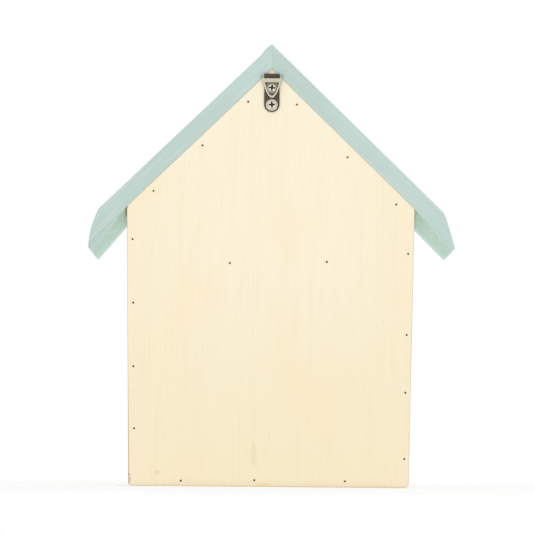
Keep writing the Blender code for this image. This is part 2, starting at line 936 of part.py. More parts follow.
def strap_foot():
    """(distance down from the pin, half-width) along the strap's half-round end, from its tip upwards."""
    half = strap_width / 2
    foot = []
    for step in range(strap_end_steps):
        angle = math.pi / 2 * (step + 0.5) / strap_end_steps
        foot.append((strap_end - half * (1 - math.cos(angle)), half * math.sin(angle)))
    foot.append((strap_end - half, half))
    return foot


def add_strap(bores, parent):
    """A sheet with a half-round end that runs up the panel and curls over the pin.

    Each station is the sheet's half-width and the (y, z) of its two faces.
    """
    half = strap_width / 2
    stations = []
    for drop, width in strap_foot():
        stations.append((width, (0, -drop), (strap_sheet, -drop)))
    middle = Vector((barrel_radius, 0))
    for step in range(barrel_steps + 1):
        angle = math.pi - (math.pi + barrel_seam) * step / barrel_steps
        direction = Vector((math.cos(angle), math.sin(angle)))
        outside = middle + direction * barrel_radius
        inside = middle + direction * barrel_bore
        stations.append((half, tuple(outside), tuple(inside)))
    shape = bmesh.new()
    rings = []
    for width, outer, inner in stations:
        corners = ((-width, outer), (width, outer), (width, inner), (-width, inner))
        rings.append([shape.verts.new((x, y, z)) for x, (y, z) in corners])
    for before, after in zip(rings, rings[1:]):
        ring_quads(shape, before, after)
    shape.faces.new(rings[0])
    shape.faces.new(rings[-1])
    strap = add_object("hanger_strap", shape, "dark_steel", (0, strap_back, hinge_height), parent)
    for bore in bores:
        cut(strap, bore)


def tongue(half_width, top, end):
    """A parabola that starts at its full half-width at the top and closes in a round tip."""
    right = []
    for step in range(eye_steps):
        share = step / eye_steps
        right.append((half_width * (1 - share), -(top + (end - top) * (1 - (1 - share) ** 2))))
    left = [(-x, z) for x, z in reversed(right)]
    return right + [(0, -end)] + left


def width_at(drop, top, end):
    """Share of a tongue's full half-width that is left this far down."""
    return math.sqrt(1 - (drop - top) / (end - top))


def add_eye(hinge):
    """The swinging eye: a tongue with a hole, and an ear at each side that turns on the pin."""
    ear_start = strap_width / 2 + fit_gap
    around_head = (upper_head_radius + eye_side_gap + eye_band) / width_at(
        upper_screw_drop, eye_plate_top, eye_end
    )
    half_width = max(ear_start + eye_ear_width, around_head)
    hole_start = half_width * width_at(eye_hole_top, eye_plate_top, eye_end) - eye_band
    hole_room = (upper_head_radius + eye_side_gap) / width_at(upper_screw_drop, eye_hole_top, eye_hole_end)
    hole_half = max(hole_room, hole_start)
    outline = tongue(half_width, eye_plate_top, eye_end)
    ears = [(-half_width, 0), (-ear_start, 0), (-ear_start, -eye_plate_top)]
    outline = outline[:-1] + [(-half_width, -eye_plate_top)] + ears + mirrored(ears)
    hole = tongue(hole_half, eye_hole_top, eye_hole_end)
    half_sheet = strap_sheet / 2
    eye = add_object("hanger_eye", prism(outline, -half_sheet, half_sheet, [hole]), "nickel", parent=hinge)
    for side, suffix in ((-1, "left"), (1, "right")):
        middle = side * (ear_start + half_width) / 2
        length = half_width - ear_start
        shape = turned(rod_profile(barrel_radius, length / 2), knuckle_sides)
        knuckle = add_object("knuckle_" + suffix, shape, None, (middle, 0, 0), hinge)
        knuckle.rotation_euler.z = math.pi / 2
        fuse(eye, knuckle)
    shape = turned(rod_profile(barrel_bore, half_width + overrun), knuckle_sides)
    bore = add_object("knuckle_bore", shape, parent=hinge)
    bore.rotation_euler.z = math.pi / 2
    cut(eye, bore)
    return half_width


def add_pin(half_width, parent):
    end = half_width + pin_overhang
    narrow = pin_radius - pin_chamfer
    profile = [
        (0, -end),
        (narrow, -end),
        (pin_radius, pin_chamfer - end),
        (pin_radius, end - pin_chamfer),
        (narrow, end),
        (0, end),
    ]
    place = (0, hinge_plane, hinge_height)
    pin = add_object("hanger_pin", turned(profile, pin_sides), "nickel", place, parent)
    pin.rotation_euler.z = math.pi / 2


def build():
    clear_scene()
    house = add_empty("house", (0, 0, 0))
    hinge = add_empty("hanger_hinge", (0, hinge_plane, hinge_height), house)

    upper_bore = add_screw_bore("upper_screw_bore", upper_screw_drop, house)
    lower_bore = add_screw_bore("lower_screw_bore", lower_screw_drop, house)
    add_body_boards(upper_bore, house)
    add_back_panel(house)

    columns = ((-1, "left", left_shelf_height_share), (1, "right", right_shelf_height_share))
    for side, suffix, share in columns:
        add_short_shelf(side, suffix, share, house)
        bottom, top = short_shelf_span(share)
        lower_bay = side_bay(side, floor_thickness, bottom)
        upper_bay = side_bay(side, top, main_shelf_bottom)
        block_bay, cane_bay = (lower_bay, upper_bay) if side < 0 else (upper_bay, lower_bay)
        add_nesting_block(suffix, block_bay, house)
        add_canes(suffix, cane_bay, house)

    add_chamber_front(house)
    add_pine_cones(house)
    add_wire_net(house)

    add_strap((upper_bore, lower_bore), house)
    add_screw("hanger_screw_upper", upper_screw_drop, screw_upper_turn, upper_head_radius, house)
    add_screw("hanger_screw_lower", lower_screw_drop, screw_lower_turn, lower_head_radius, house)
    add_pin(add_eye(hinge), house)
    bpy.context.view_layer.update()


build()
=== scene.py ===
import math
from functools import partialmethod

import bmesh
import bpy
import numpy as np
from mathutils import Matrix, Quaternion, Vector


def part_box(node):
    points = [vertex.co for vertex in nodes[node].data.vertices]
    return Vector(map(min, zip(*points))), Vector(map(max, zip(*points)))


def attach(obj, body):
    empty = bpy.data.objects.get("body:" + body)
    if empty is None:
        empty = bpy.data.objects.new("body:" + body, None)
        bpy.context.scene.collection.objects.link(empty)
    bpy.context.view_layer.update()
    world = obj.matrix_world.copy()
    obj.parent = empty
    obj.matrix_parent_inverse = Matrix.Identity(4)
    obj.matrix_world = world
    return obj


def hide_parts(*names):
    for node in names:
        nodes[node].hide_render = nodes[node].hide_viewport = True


# An insect hotel seen from behind: painted roof boards, a nailed plywood panel, a hinged hanger at the peak,
# and in front canes, drilled blocks, a slotted chamber and cones behind a wire net. Metres, front faces -Y.

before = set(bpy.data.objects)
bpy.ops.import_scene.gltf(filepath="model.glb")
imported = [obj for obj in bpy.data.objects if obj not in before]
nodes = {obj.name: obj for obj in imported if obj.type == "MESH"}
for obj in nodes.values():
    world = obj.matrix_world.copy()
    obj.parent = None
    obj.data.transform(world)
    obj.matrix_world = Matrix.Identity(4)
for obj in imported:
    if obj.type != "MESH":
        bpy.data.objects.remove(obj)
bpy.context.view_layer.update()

mm = 0.001
fit = 0.3 * mm  # the gap that pieces keep from each other
sides = {"left": -1, "right": 1}
slope = math.radians(44.3)  # of the roof, from the level
boardThickness = 13.9 * mm  # of the roof boards
panelFoot = 108.4 * mm  # half the panel's width at its foot
panelLow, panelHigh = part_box("back_panel")
roofLow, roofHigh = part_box("roof_board_right")
backPlane = panelHigh.y
print("frame loaded:", len(nodes), "nodes")


# Node trees: fields, and the graph or finish that holds them


class Field:
    # one socket of a graph; sums, products and powers of fields and plain numbers add Math nodes
    def __init__(self, graph, socket):
        self.graph = graph
        self.socket = socket

    def maths(self, operation, *others):
        return self.graph.node("ShaderNodeMath", {"operation": operation}, dict(enumerate((self, *others))))

    __add__ = __radd__ = partialmethod(maths, "ADD")
    __sub__ = partialmethod(maths, "SUBTRACT")
    __rsub__ = partialmethod(maths, "MULTIPLY_ADD", -1.0)  # -1 * field + number
    __mul__ = __rmul__ = partialmethod(maths, "MULTIPLY")
    __truediv__ = partialmethod(maths, "DIVIDE")
    __pow__ = partialmethod(maths, "POWER")
    __abs__ = partialmethod(maths, "ABSOLUTE")


class Graph:
    # a node tree; node() makes any node from its type, its settings and its sockets' values or links
    def __init__(self, tree):
        self.tree = tree

    def node(self, kind, settings=None, inputs=None, output=0):
        made = self.tree.nodes.new(kind)
        for name, value in (settings or {}).items():
            setattr(made, name, value)
        for socket, value in (inputs or {}).items():
            self.join(made.inputs[socket], value)
        return Field(self, made.outputs[output])

    def join(self, socket, value):
        if isinstance(value, Field):
            self.tree.links.new(value.socket, socket)
        else:
            socket.default_value = value


def linearLight(shade):
    # a screen colour from 0 to 255 as linear red, green, blue and full alpha
    value = np.array(shade) / 255
    light = np.where(value <= 0.04045, value / 12.92, ((value + 0.055) / 1.055) ** 2.4)
    return (*map(float, light), 1.0)


class Finish(Graph):
    # one material, built on its Principled shader; place is the object's own coordinates, tone the colour so far
    def __init__(self, name, roughness=0.6, metallic=0.0):
        self.material = bpy.data.materials.new(name)
        self.material.use_nodes = True
        super().__init__(self.material.node_tree)
        self.surface(Roughness=roughness, Metallic=metallic)
        self.place = self.node("ShaderNodeTexCoord", output="Object")
        self.tone = None

    def surface(self, **sockets):
        shader = self.tree.nodes["Principled BSDF"]
        for name, value in sockets.items():
            self.join(shader.inputs[name.replace("_", " ")], value)
        return self.material

    def coated(self, roughness, height, depth, strength):
        # the finished material: its tone, its roughness and a bump whose full height is this deep
        inputs = {"Height": height, "Distance": depth, "Strength": strength}
        bump = self.node("ShaderNodeBump", {}, inputs, output="Normal")
        return self.surface(Base_Color=self.tone, Roughness=roughness, Normal=bump)

    def mapped(self, scale, turn=(0, 0, 0), shift=(0, 0, 0)):
        # the place turned first, then stretched and shifted
        inputs = {"Vector": self.place, "Rotation": turn}
        turned = self.node("ShaderNodeMapping", {}, inputs) if any(turn) else self.place
        return self.node("ShaderNodeMapping", {}, {"Vector": turned, "Location": shift, "Scale": scale})

    def noise(self, scale, detail=3.0, roughness=0.55, distortion=0.0, turn=(0, 0, 0), shift=(0, 0, 0)):
        # noise with its own number of waves a metre along each axis
        inputs = {"Scale": 1.0, "Detail": detail, "Roughness": roughness, "Distortion": distortion}
        return self.node("ShaderNodeTexNoise", {}, {"Vector": self.mapped(scale, turn, shift), **inputs})

    def axes(self, vector=None):
        # the three coordinates of a place
        split = self.node("ShaderNodeSeparateXYZ", {}, {"Vector": vector or self.place})
        return [Field(self, socket) for socket in split.socket.node.outputs]

    def ease(self, value, low, high):
        # 0 at low, 1 at high and a smooth step between; low may be the greater
        inputs = {"Value": value, "From Min": low, "From Max": high}
        return self.node("ShaderNodeMapRange", {"interpolation_type": "SMOOTHSTEP"}, inputs)

    def mix(self, share, first, second):
        tones = [tone if isinstance(tone, Field) else linearLight(tone) for tone in (first, second)]
        settings = {"data_type": "RGBA", "clamp_factor": True}
        return self.node("ShaderNodeMix", settings, {0: share, 6: tones[0], 7: tones[1]}, output=2)

    def coat(self, plan, *masks):
        # lays a colour over the tone: plan is that colour and its share, and each mask, a field or the
        # (value, low, high) of an ease, keeps it to a place
        shade, share = plan
        for mask in masks:
            share = (mask if isinstance(mask, Field) else self.ease(*mask)) * share
        self.tone = self.mix(share, self.tone, shade)

    def attribute(self, name):
        return self.node("ShaderNodeAttribute", {"attribute_name": name}, output="Fac")

    def spot(self, x, z, width, height):
        # 1 in the middle of an upright ellipse on the panel, 0 outside it
        across, _, up = self.axes()
        return self.ease(((across - x) / width) ** 2 + ((up - z) / height) ** 2, 1.0, 0.0)


def dress(name, material):
    # gives a CAD node its finish
    slots = nodes[name].data.materials
    slots.clear()
    slots.append(material)


# Surfaces: grids of points and their faces, always with four corners


def xyz(*coordinates):
    # points from their coordinates, each an array or one number for all
    return np.stack(np.broadcast_arrays(*coordinates), axis=-1)


def circle(columns):
    # angles round a full turn
    return np.arange(columns) * math.tau / columns


def gridFaces(rows, columns, wrapRows=False, wrapColumns=True):
    # faces of a grid of points; a wrapped direction joins its last points to its first
    row = np.arange(rows if wrapRows else rows - 1)[:, None]
    column = np.arange(columns if wrapColumns else columns - 1)
    nextRow = (row + 1) % rows * columns
    nextColumn = (column + 1) % columns
    corners = row * columns + column, row * columns + nextColumn, nextRow + nextColumn, nextRow + column
    return xyz(*corners).reshape(-1, 4)


def tubeFaces(rows, columns, near=True, far=True):
    # a grid that is closed round its columns, with flat ends of side-by-side faces
    step = np.arange(columns // 2 - 1)
    cap = xyz(step, columns - 1 - step, columns - 2 - step, step + 1)
    ends = [cap] * near + [cap[:, ::-1] + (rows - 1) * columns] * far
    return np.concatenate([gridFaces(rows, columns)] + ends)


def skin(rings, closed=False):
    # rings of points (rows, columns, 3), or copies of them: tubes with flat ends, or closed in both directions
    many = rings.reshape(-1, *rings.shape[-3:])
    copies, rows, columns, _ = many.shape
    faces = gridFaces(rows, columns, wrapRows=True) if closed else tubeFaces(rows, columns)
    starts = np.arange(copies)[:, None, None] * (rows * columns)
    return many.reshape(-1, 3), (faces + starts).reshape(-1, 4)


def sweep(path, section, wide):
    # carries a section (columns, 2) along a path (rows, 3): point = path + a * wide + b * (wide x tangent),
    # with wide turned square to the path
    tangent = np.gradient(path, axis=0)
    tangent /= np.linalg.norm(tangent, axis=1, keepdims=True)
    wide = wide - (wide * tangent).sum(axis=1, keepdims=True) * tangent
    wide /= np.linalg.norm(wide, axis=1, keepdims=True)
    deep = np.cross(wide, tangent)
    return path[:, None] + section[:, :1] * wide[:, None] + section[:, 1:] * deep[:, None]


def sweepAll(paths, section, wides):
    return skin(np.stack([sweep(path, section, wide) for path, wide in zip(paths, wides)]))


def roundSection(radius, columns):
    return radius * xyz(np.cos(circle(columns)), np.sin(circle(columns)))


def roundedBox(width, height, radius, steps=4):
    # a loop round a rectangle about zero: four corner arcs joined by straight sides
    angle = np.linspace(0, math.pi / 2, steps) + np.arange(4)[:, None] * math.pi / 2
    side, rise = np.array([(1, -1, -1, 1), (1, 1, -1, -1)])[..., None]
    x = side * (width / 2 - radius) + radius * np.cos(angle)
    return xyz(x, rise * (height / 2 - radius) + radius * np.sin(angle)).reshape(-1, 2)


def turnedRings(profile, centre, axis, columns):
    # a profile of (radius, distance along the axis) turned about a line along X or Y
    radius, along = np.array(profile).T[..., None]
    first, second = radius * np.cos(circle(columns)), radius * np.sin(circle(columns))
    return xyz(*((along, first, second) if axis == "X" else (second, along, first))) + centre


def scattered(count, seed=0.0):
    # numbers from 0 to 1 with no visible order: steps of the golden ratio
    return (np.arange(count) * 0.618034 + seed) % 1


def newObject(name, data):
    made = bpy.data.objects.new(name, data)
    bpy.context.scene.collection.objects.link(made)
    return made


def addPiece(name, blocks, material, body="house", replacing=(), attributes=None, sharp=40):
    # joins blocks of (points, faces) into one mesh that rides on a body
    points, faces = zip(*blocks)
    starts = np.cumsum([0] + [len(block) for block in points])
    faces = np.concatenate([block + start for block, start in zip(faces, starts)])
    mesh = bpy.data.meshes.new(name)
    mesh.from_pydata(np.concatenate(points), [], faces)
    for key, values in (attributes or {}).items():
        mesh.attributes.new(key, "FLOAT", "POINT").data.foreach_set("value", values.astype(np.float32))
    shape = bmesh.new()
    shape.from_mesh(mesh)
    bmesh.ops.remove_doubles(shape, verts=shape.verts, dist=0.001 * mm)
    bmesh.ops.recalc_face_normals(shape, faces=shape.faces)
    shape.to_mesh(mesh)
    shape.free()
    mesh.shade_smooth()
    mesh.set_sharp_from_angle(angle=math.radians(sharp))
    mesh.materials.append(material)
    piece = newObject(name, mesh)
    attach(piece, body)
    if replacing:
        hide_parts(*replacing)


# Back panel: pale plywood with upright fibres, cloudy patches, brown arrises and a darker core

plywoodPlan = {
    # colours, and those that are laid over them with their shares
    "high": (250, 240, 214),
    "low": (248, 235, 202),
    "edge": ((249, 235, 202), 0.60),
    "cloud": ((251, 233, 196), 0.55),
    "streak": ((244, 227, 188), 0.24),
    "fibre": ((238, 220, 180), 0.26),
    "fleck": ((222, 194, 150), 0.35),
    "foot": ((236, 212, 168), 0.60),
    "arris": ((194, 154, 122), 0.75),
    "peak": ((222, 170, 134), 0.60),
    "core": ((205, 170, 124), 0.70),
    "marks": (
        # ellipses: middle x and z, half-width and half-height, then colour and share
        ((0.0117, 0.0246, 0.0028, 0.0130), ((226, 200, 152), 0.30)),
        ((0.0865, 0.0102, 0.0030, 0.0022), ((228, 196, 152), 0.45)),
        ((0.1076, 0.0044, 0.0022, 0.0042), ((206, 160, 134), 0.42)),
        ((0.0920, 0.2294, 0.0100, 0.0060), ((250, 229, 188), 0.35)),
        ((0.0045, 0.0012, 0.0070, 0.0022), ((240, 214, 150), 0.40)),
        ((0.1122, 0.2168, 0.0011, 0.0015), ((176, 122, 100), 0.60)),
        ((0.1122, 0.2010, 0.0010, 0.0016), ((186, 140, 112), 0.40)),
        ((0.1083, 0.0086, 0.0012, 0.0014), ((78, 56, 46), 0.85)),
    ),
}


def plywoodFinish():
    plan = plywoodPlan
    finish = Finish("plywood", roughness=0.62)
    x, y, z = finish.axes()
    fibres = finish.noise((900, 900, 16), detail=4, roughness=0.65)
    streaks = finish.noise((120, 120, 4.5), distortion=0.3, shift=(3, 0, 1))
    clouds = finish.noise((16, 16, 9), detail=2, shift=(7, 0, 2))
    flecks = finish.noise((1500, 1500, 90), detail=1, shift=(0, 2, 5))
    finish.tone = finish.mix(finish.ease(z, 0.20, 0.01), plan["high"], plan["low"])
    finish.coat(plan["edge"], (abs(x), 0.05, 0.11))
    finish.coat(plan["cloud"], (clouds, 0.52, 0.74))
    finish.coat(plan["streak"], (streaks, 0.50, 0.78))
    finish.coat(plan["fibre"], (fibres, 0.50, 0.72))
    finish.coat(plan["fleck"], (flecks, 0.70, 0.80))
    for ellipse, coat in plan["marks"]:
        finish.coat(coat, finish.spot(*ellipse))
    eave = panelHigh.z - panelHigh.x * math.tan(slope)
    inward = z * ((panelHigh.x - panelFoot) / eave) + panelFoot - abs(x)
    rubbed = finish.ease(z, 0.10, 0.01) * finish.ease(x, 0.0, 0.1) * (0.6 * mm)
    wave = streaks * (0.4 * mm)
    finish.coat(plan["foot"], (z + wave, 1.5 * mm, 0.5 * mm))
    finish.coat(plan["arris"], (inward + wave - rubbed, 0.85 * mm, 0.30 * mm), (fibres, 0.25, 0.50))
    gable = (panelHigh.z - z) * math.cos(slope) - abs(x) * math.sin(slope)
    finish.coat(plan["peak"], (gable, 1.1 * mm, 0.4 * mm), (z, panelHigh.z - 8 * mm, panelHigh.z - 5 * mm))
    front = (y, panelLow.y + 0.8 * mm, panelLow.y + 1.2 * mm)
    finish.coat(plan["core"], front, (y, panelHigh.y - 0.9 * mm, panelHigh.y - 1.3 * mm))
    return finish.coated(0.55 + fibres * 0.16, fibres * 0.6 + streaks * 0.4, 0.12 * mm, 0.55)


# Paint: thin and matt, with brush lines and grain along the board, a cloudy cover and worn arrises, and painted
# light and shade under the roof

paintPlan = {
    # colours, and those that are laid over them with their shares
    "thin": (187, 208, 201),
    "full": (191, 213, 207),
    "line": ((197, 217, 211), 0.40),
    "pore": ((171, 193, 185), 0.30),
    "bare": ((218, 224, 210), 0.27),
    # a darker line along the rear lower arris: partly worn paint, partly painted shade
    "arris": ((150, 184, 166), 0.50),
    "low": {-1: ((171, 193, 185), 0.10), 1: ((171, 193, 185), 0.25)},
    # painted light: the underside gets a lighter, cooler tone than the rest of the board
    "under": ((188, 223, 226), 0.90),
    # painted shade on the underside: towards the tip, towards the front and along the front lip
    "tip": ((168, 202, 200), 0.60),
    "front": ((168, 202, 200), 0.80),
    "lip": ((150, 184, 166), 0.50),
    # a line of painted shade on the underside beside the wall
    "wallShade": ((150, 184, 166), 0.55),
    # a dark painted shadow in the slit beside the panel's corner
    "gap": ((66, 84, 72), 0.85),
    "eaveLean": {-1: 0.307, 1: 0.245},  # of the end cuts, from the upright
    "wallShadeWidth": 2.4 * mm,  # of the line beside the panel, as is the next
    "gapWidth": 1.2 * mm,
    "gapLean": 0.062,
    "gapFront": -2 * mm,
}


def paintFinish(name, turn, seed, side=0, board=None):
    # a roof board's underside gets a lighter, cooler tone as painted light, painted shade towards its tip and
    # front, along its front lip and beside the wall, and a painted shadow in the slit by the panel's corner
    plan = paintPlan
    finish = Finish(name, roughness=0.58)
    brush = finish.noise((14, 420, 420), detail=4, roughness=0.6, turn=turn, shift=(seed, 0, 0))
    grain = finish.noise((5, 900, 1100), detail=2, turn=turn, shift=(0, seed, 0))
    clouds = finish.noise((22, 40, 40), turn=turn, shift=(seed, seed, 0))
    finish.tone = finish.mix(finish.ease(clouds, 0.35, 0.68), plan["thin"], plan["full"])
    if side:
        x, y, z = finish.axes()
        low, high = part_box(board)
        tip, lean = max(high.x, -low.x), plan["eaveLean"][side]
        out = x * side
        depth = roofHigh.z * math.cos(slope) - boardThickness - (out * math.sin(slope) + z * math.cos(slope))
        cutDepth = (tip + low.z * lean) - (out + z * lean)
        wall = out - (backPlane - y) * plan["gapLean"] - panelHigh.x
        under = finish.ease(depth, -0.25 * mm, -0.05 * mm) * finish.ease(cutDepth, 0.3 * mm, 0.9 * mm)
        under = under * finish.ease(y, backPlane - 0.1 * mm, backPlane - 0.4 * mm)
        finish.coat(plan["low"][side], (z, 0.25, 0.20))
        # painted light: a lighter, cooler tone underneath
        finish.coat(plan["under"], under)
        # painted shade on the underside: darker towards the tip, the front and along the front lip
        finish.coat(plan["tip"], under, (out, tip - 20 * mm, tip - 4 * mm))
        finish.coat(plan["front"], under, (y, 0.0, roofLow.y))
        finish.coat(plan["lip"], under, (y, roofLow.y + 5 * mm, roofLow.y + 2 * mm))
        # painted shade: a dim line on the underside beside the wall, leaning outward to the front
        finish.coat(plan["wallShade"], under, (wall, plan["wallShadeWidth"], 0.4 * plan["wallShadeWidth"]))
        # painted shadow in the slit between the panel's corner and the underside, on the right board only
        if side > 0:
            start = plan["gapFront"]
            reach = ((y, start, start + 6 * mm), (y, backPlane, backPlane - 8 * mm))
            finish.coat(plan["gap"], under, (wall, plan["gapWidth"], 0.5 * plan["gapWidth"]), *reach)
        # darker rear lower arris: partly worn paint, partly painted shade
        rear = (y, backPlane - 0.6 * mm, backPlane - 0.1 * mm)
        finish.coat(plan["arris"], (depth, -0.7 * mm, -0.1 * mm), rear, (brush, 0.35, 0.60))
    finish.coat(plan["line"], (brush, 0.45, 0.78))
    finish.coat(plan["pore"], (grain, 0.62, 0.80))
    if side:
        ends = finish.ease(y, roofLow.y + 0.9 * mm, roofLow.y) + finish.ease(y, backPlane - 0.9 * mm, backPlane)
        finish.coat(plan["bare"], ends * (1 - under), (brush, 0.50, 0.66))
    return finish.coated(0.52 + brush * 0.14, brush * 0.6 + grain * 0.4, 0.10 * mm, 0.6)


# Sawn wood: growth rings round a pith that lies outside the board, and fibres along the grain

pineTones = {
    "early": (246, 231, 198), "late": (222, 187, 140),
    "fibre": ((236, 214, 172), 0.40), "warm": ((241, 220, 180), 0.35),
}
blockTones = {
    "early": (222, 188, 142), "late": (176, 128, 84),
    "fibre": ((200, 158, 112), 0.40), "warm": ((212, 170, 122), 0.35),
}


def woodFinish(name, grain, pith, tones=pineTones, ring=2.6, turn=(0, 0, 0), seed=0.0):
    finish = Finish(name, roughness=0.62)
    place = finish.axes(finish.mapped((1, 1, 1), turn))
    slow, fine = [30.0] * 3, [700.0] * 3
    slow[grain], fine[grain] = 5.0, 14.0
    sway = finish.noise(slow, detail=2, turn=turn, shift=(seed, seed, seed))
    fibres = finish.noise(fine, roughness=0.6, turn=turn, shift=(0, seed, 0))
    first, second = [place[axis] for axis in range(3) if axis != grain]
    across = ((first - pith[0]) ** 2 + (second - pith[1]) ** 2) ** 0.5
    ringShare = ((across + sway * (9.0 * mm)) / (ring * mm)).maths("FRACT")
    late = ringShare ** 3 * finish.ease(ringShare, 1.0, 0.90)
    finish.tone = finish.mix(late * 0.80, tones["early"], tones["late"])
    finish.coat(tones["fibre"], (fibres, 0.45, 0.75))
    finish.coat(tones["warm"], (sway, 0.40, 0.75))
    return finish.coated(0.55 + fibres * 0.2, fibres * 0.5 - late * 0.5, 0.15 * mm, 0.7)


boardPlans = {
    # grain axis, pith across it
    "side_wall_left": (2, (-0.16, 0.03)),
    "side_wall_right": (2, (0.15, -0.02)),
    "divider_left": (2, (-0.02, -0.09)),
    "divider_right": (2, (0.09, 0.05)),
    "floor_board": (0, (0.01, -0.05)),
    "main_shelf": (0, (-0.03, 0.24)),
    "short_shelf_left": (0, (0.02, 0.06)),
    "short_shelf_right": (0, (-0.02, 0.13)),
}


def dressBoards():
    for name, side in sides.items():
        turn = (0, -side * slope, 0)
        board = "roof_board_" + name
        dress(board, paintFinish("roofPaint_" + name, turn, 2.0 + side, side, board))
        dress("inner_board_" + name, woodFinish("innerPine_" + name, 0, (0.03, 0.2), turn=turn))
    for index, (name, (grain, pith)) in enumerate(boardPlans.items()):
        dress(name, woodFinish("pine_" + name, grain, pith, ring=2.2 + index % 3 * 0.5, seed=index))
    dress("back_panel", plywoodFinish())
    dress("chamber_front", paintFinish("chamberPaint", (0, math.pi / 2, 0), 7.0))
    print("boards dressed")


# Seams: the mitre is glued and painted over, and the panel's slopes are filled

seamPlan = {
    "mitreSink": 0.06 * mm,
    "ridgeSink": 0.02 * mm,
    "panelSink": 0.04 * mm,
    "depth": 3.0 * mm,
    "beadWidth": 8.2 * mm,
    "beadRise": 1.2 * mm,
    "paint": ((186, 207, 199), (192, 213, 206)),
    "bead": ((189, 211, 203), (196, 217, 210)),
    "filler": ((240, 226, 204), (230, 212, 190)),
}


def seamFinish(name, tones):
    finish = Finish(name)
    lumps = finish.noise((300, 300, 300))
    finish.tone = finish.mix(finish.ease(lumps, 0.40, 0.66), *tones)
    return finish.coated(0.6, lumps, 0.05 * mm, 0.5)


def ridgeBead():
    # a swelling of filler on one board beside the ridge: z = roof + rise * sin(pi * x / width) ** 0.6, under the
    # ridge's own height, with a wave of one part in twelve along it
    plan = seamPlan
    share = np.linspace(0, 1, 13)
    y = np.linspace(roofLow.y + 0.1 * mm, backPlane - 0.03 * mm, 26)[:, None]
    out = share * plan["beadWidth"] * (1 + 0.08 * np.sin(y * 90 + 1.0))
    roof = roofHigh.z - out * math.tan(slope)
    top = roof + plan["beadRise"] * np.sin(math.pi * share).clip(0) ** 0.6 * (1 + 0.08 * np.sin(y * 140))
    top = np.minimum(top, roofHigh.z - plan["ridgeSink"] - 0.12 * out)
    over = xyz(0.5 * fit + out, y, np.maximum(top, roof - 0.02 * mm))
    under = xyz(0.5 * fit + out, y, roof - 0.05 * mm)
    return np.concatenate((over, under[:, ::-1]), axis=1)


def addSeams():
    plan = seamPlan
    x, y = roundedBox(fit, backPlane - roofLow.y - 2 * plan["mitreSink"], 0.02 * mm, 2).T
    levels = np.array([[panelHigh.z + 0.1 * mm], [roofHigh.z - plan["ridgeSink"]]])
    mitre = xyz(x, y + (backPlane + roofLow.y) / 2, levels)
    addPiece("mitreSeam", [skin(mitre)], seamFinish("seamPaint", plan["paint"]))
    addPiece("ridgeBead", [skin(ridgeBead())], seamFinish("beadPaint", plan["bead"]))
    along = np.array([0.3 * mm, panelHigh.x - 0.5 * mm])
    section = roundedBox(fit, plan["depth"], 0.05 * mm, 2)[:, ::-1]
    z = panelHigh.z - along * math.tan(slope) + 0.5 * fit / math.cos(slope)
    paths = [xyz(side * along, backPlane - plan["panelSink"] - plan["depth"] / 2, z) for side in sides.values()]
    blocks = [sweepAll([path], section, [np.array([0, 1, 0])]) for path in paths]
    addPiece("panelSeams", blocks, seamFinish("seamFiller", plan["filler"]))
    print("seams filled")


# The hanger: a strap rolled round its pin, an eye that swings on it, and two cross-head screws

strapLow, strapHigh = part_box("hanger_strap")
eyeLow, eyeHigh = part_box("hanger_eye")
pinLow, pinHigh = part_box("hanger_pin")
hinge = ((pinLow.y + pinHigh.y) / 2, (pinLow.z + pinHigh.z) / 2)
hangerPlan = {
    "sheet": 0.7 * mm,
    "edge": 0.16 * mm,
    "seam": math.radians(110),  # how far the roll goes on past its front
    "barrel": 1.6 * mm,
    "plateTop": 1.9 * mm,  # down from the pin's axis, as are the next two
    "holeTop": 5.3 * mm,
    "holeEnd": 15.9 * mm,
    "sideBand": 1.4 * mm,
    "knuckle": 1.25 * mm,
}
strapTones = ((78, 70, 58), (104, 94, 80), (134, 124, 108))
metalPlans = {
    # two coats and the wiping marks, roughness, then specks and wiping marks a metre
    "strapSteel": (strapTones, 0.42, 2600, 900),
    "pinSteel": (strapTones, 0.42, 2600, 900),
    "eyeNickel": (((192, 187, 171), (216, 210, 194), (234, 228, 214)), 0.34, 1800, 1200),
    "screwNickel": (((216, 208, 195), (234, 227, 214), (246, 240, 228)), 0.24, 2200, 1500),
    "bradSteel": (((60, 46, 36), (88, 70, 54), (110, 92, 74)), 0.55, 3000, 1500),
    "zincWire": (((150, 152, 152), (182, 184, 184), (206, 208, 206)), 0.40, 900, 700),
}
# grime and painted shade, darkening a screw's cross recess and the ring round its dome
dirtAndShadePlan = ((66, 56, 44), 1.0)
wornPlan = {"ellipse": (0, 0.3125, 0.0066, 0.0078), "coat": ((168, 160, 130), 0.8)}


def metalFinish(name, dirtAndShade=None, worn=None):
    # plated steel: a speckled coat with fine wiping marks, grime and painted shade by the attribute recess, and
    # a worn spot
    tones, roughness, speck, scratch = metalPlans[name]
    finish = Finish(name, roughness=roughness, metallic=1.0)
    specks = finish.noise((speck, speck, speck), detail=4, roughness=0.7)
    wiped = finish.noise((scratch, scratch, scratch / 12), shift=(4, 1, 0))
    finish.tone = finish.mix(finish.ease(specks, 0.42, 0.66), tones[0], tones[1])
    finish.coat((tones[2], 0.4), (wiped, 0.56, 0.74))
    # grime and painted shade where the attribute recess says
    if dirtAndShade:
        finish.coat(dirtAndShade, finish.attribute("recess"))
    if worn:
        finish.coat(worn["coat"], finish.spot(*worn["ellipse"]), (specks, 0.30, 0.60))
    return finish.coated((roughness - 0.08) + specks * 0.16 + wiped * 0.06, specks, 0.03 * mm, 0.5)


def bentSheet(across, out, path):
    # a section carried along a path whose rows are y and z, and y and z of the way out
    y, z, outY, outZ = np.array(path)[..., None]
    return xyz(across, y + out * outY, z + out * outZ)


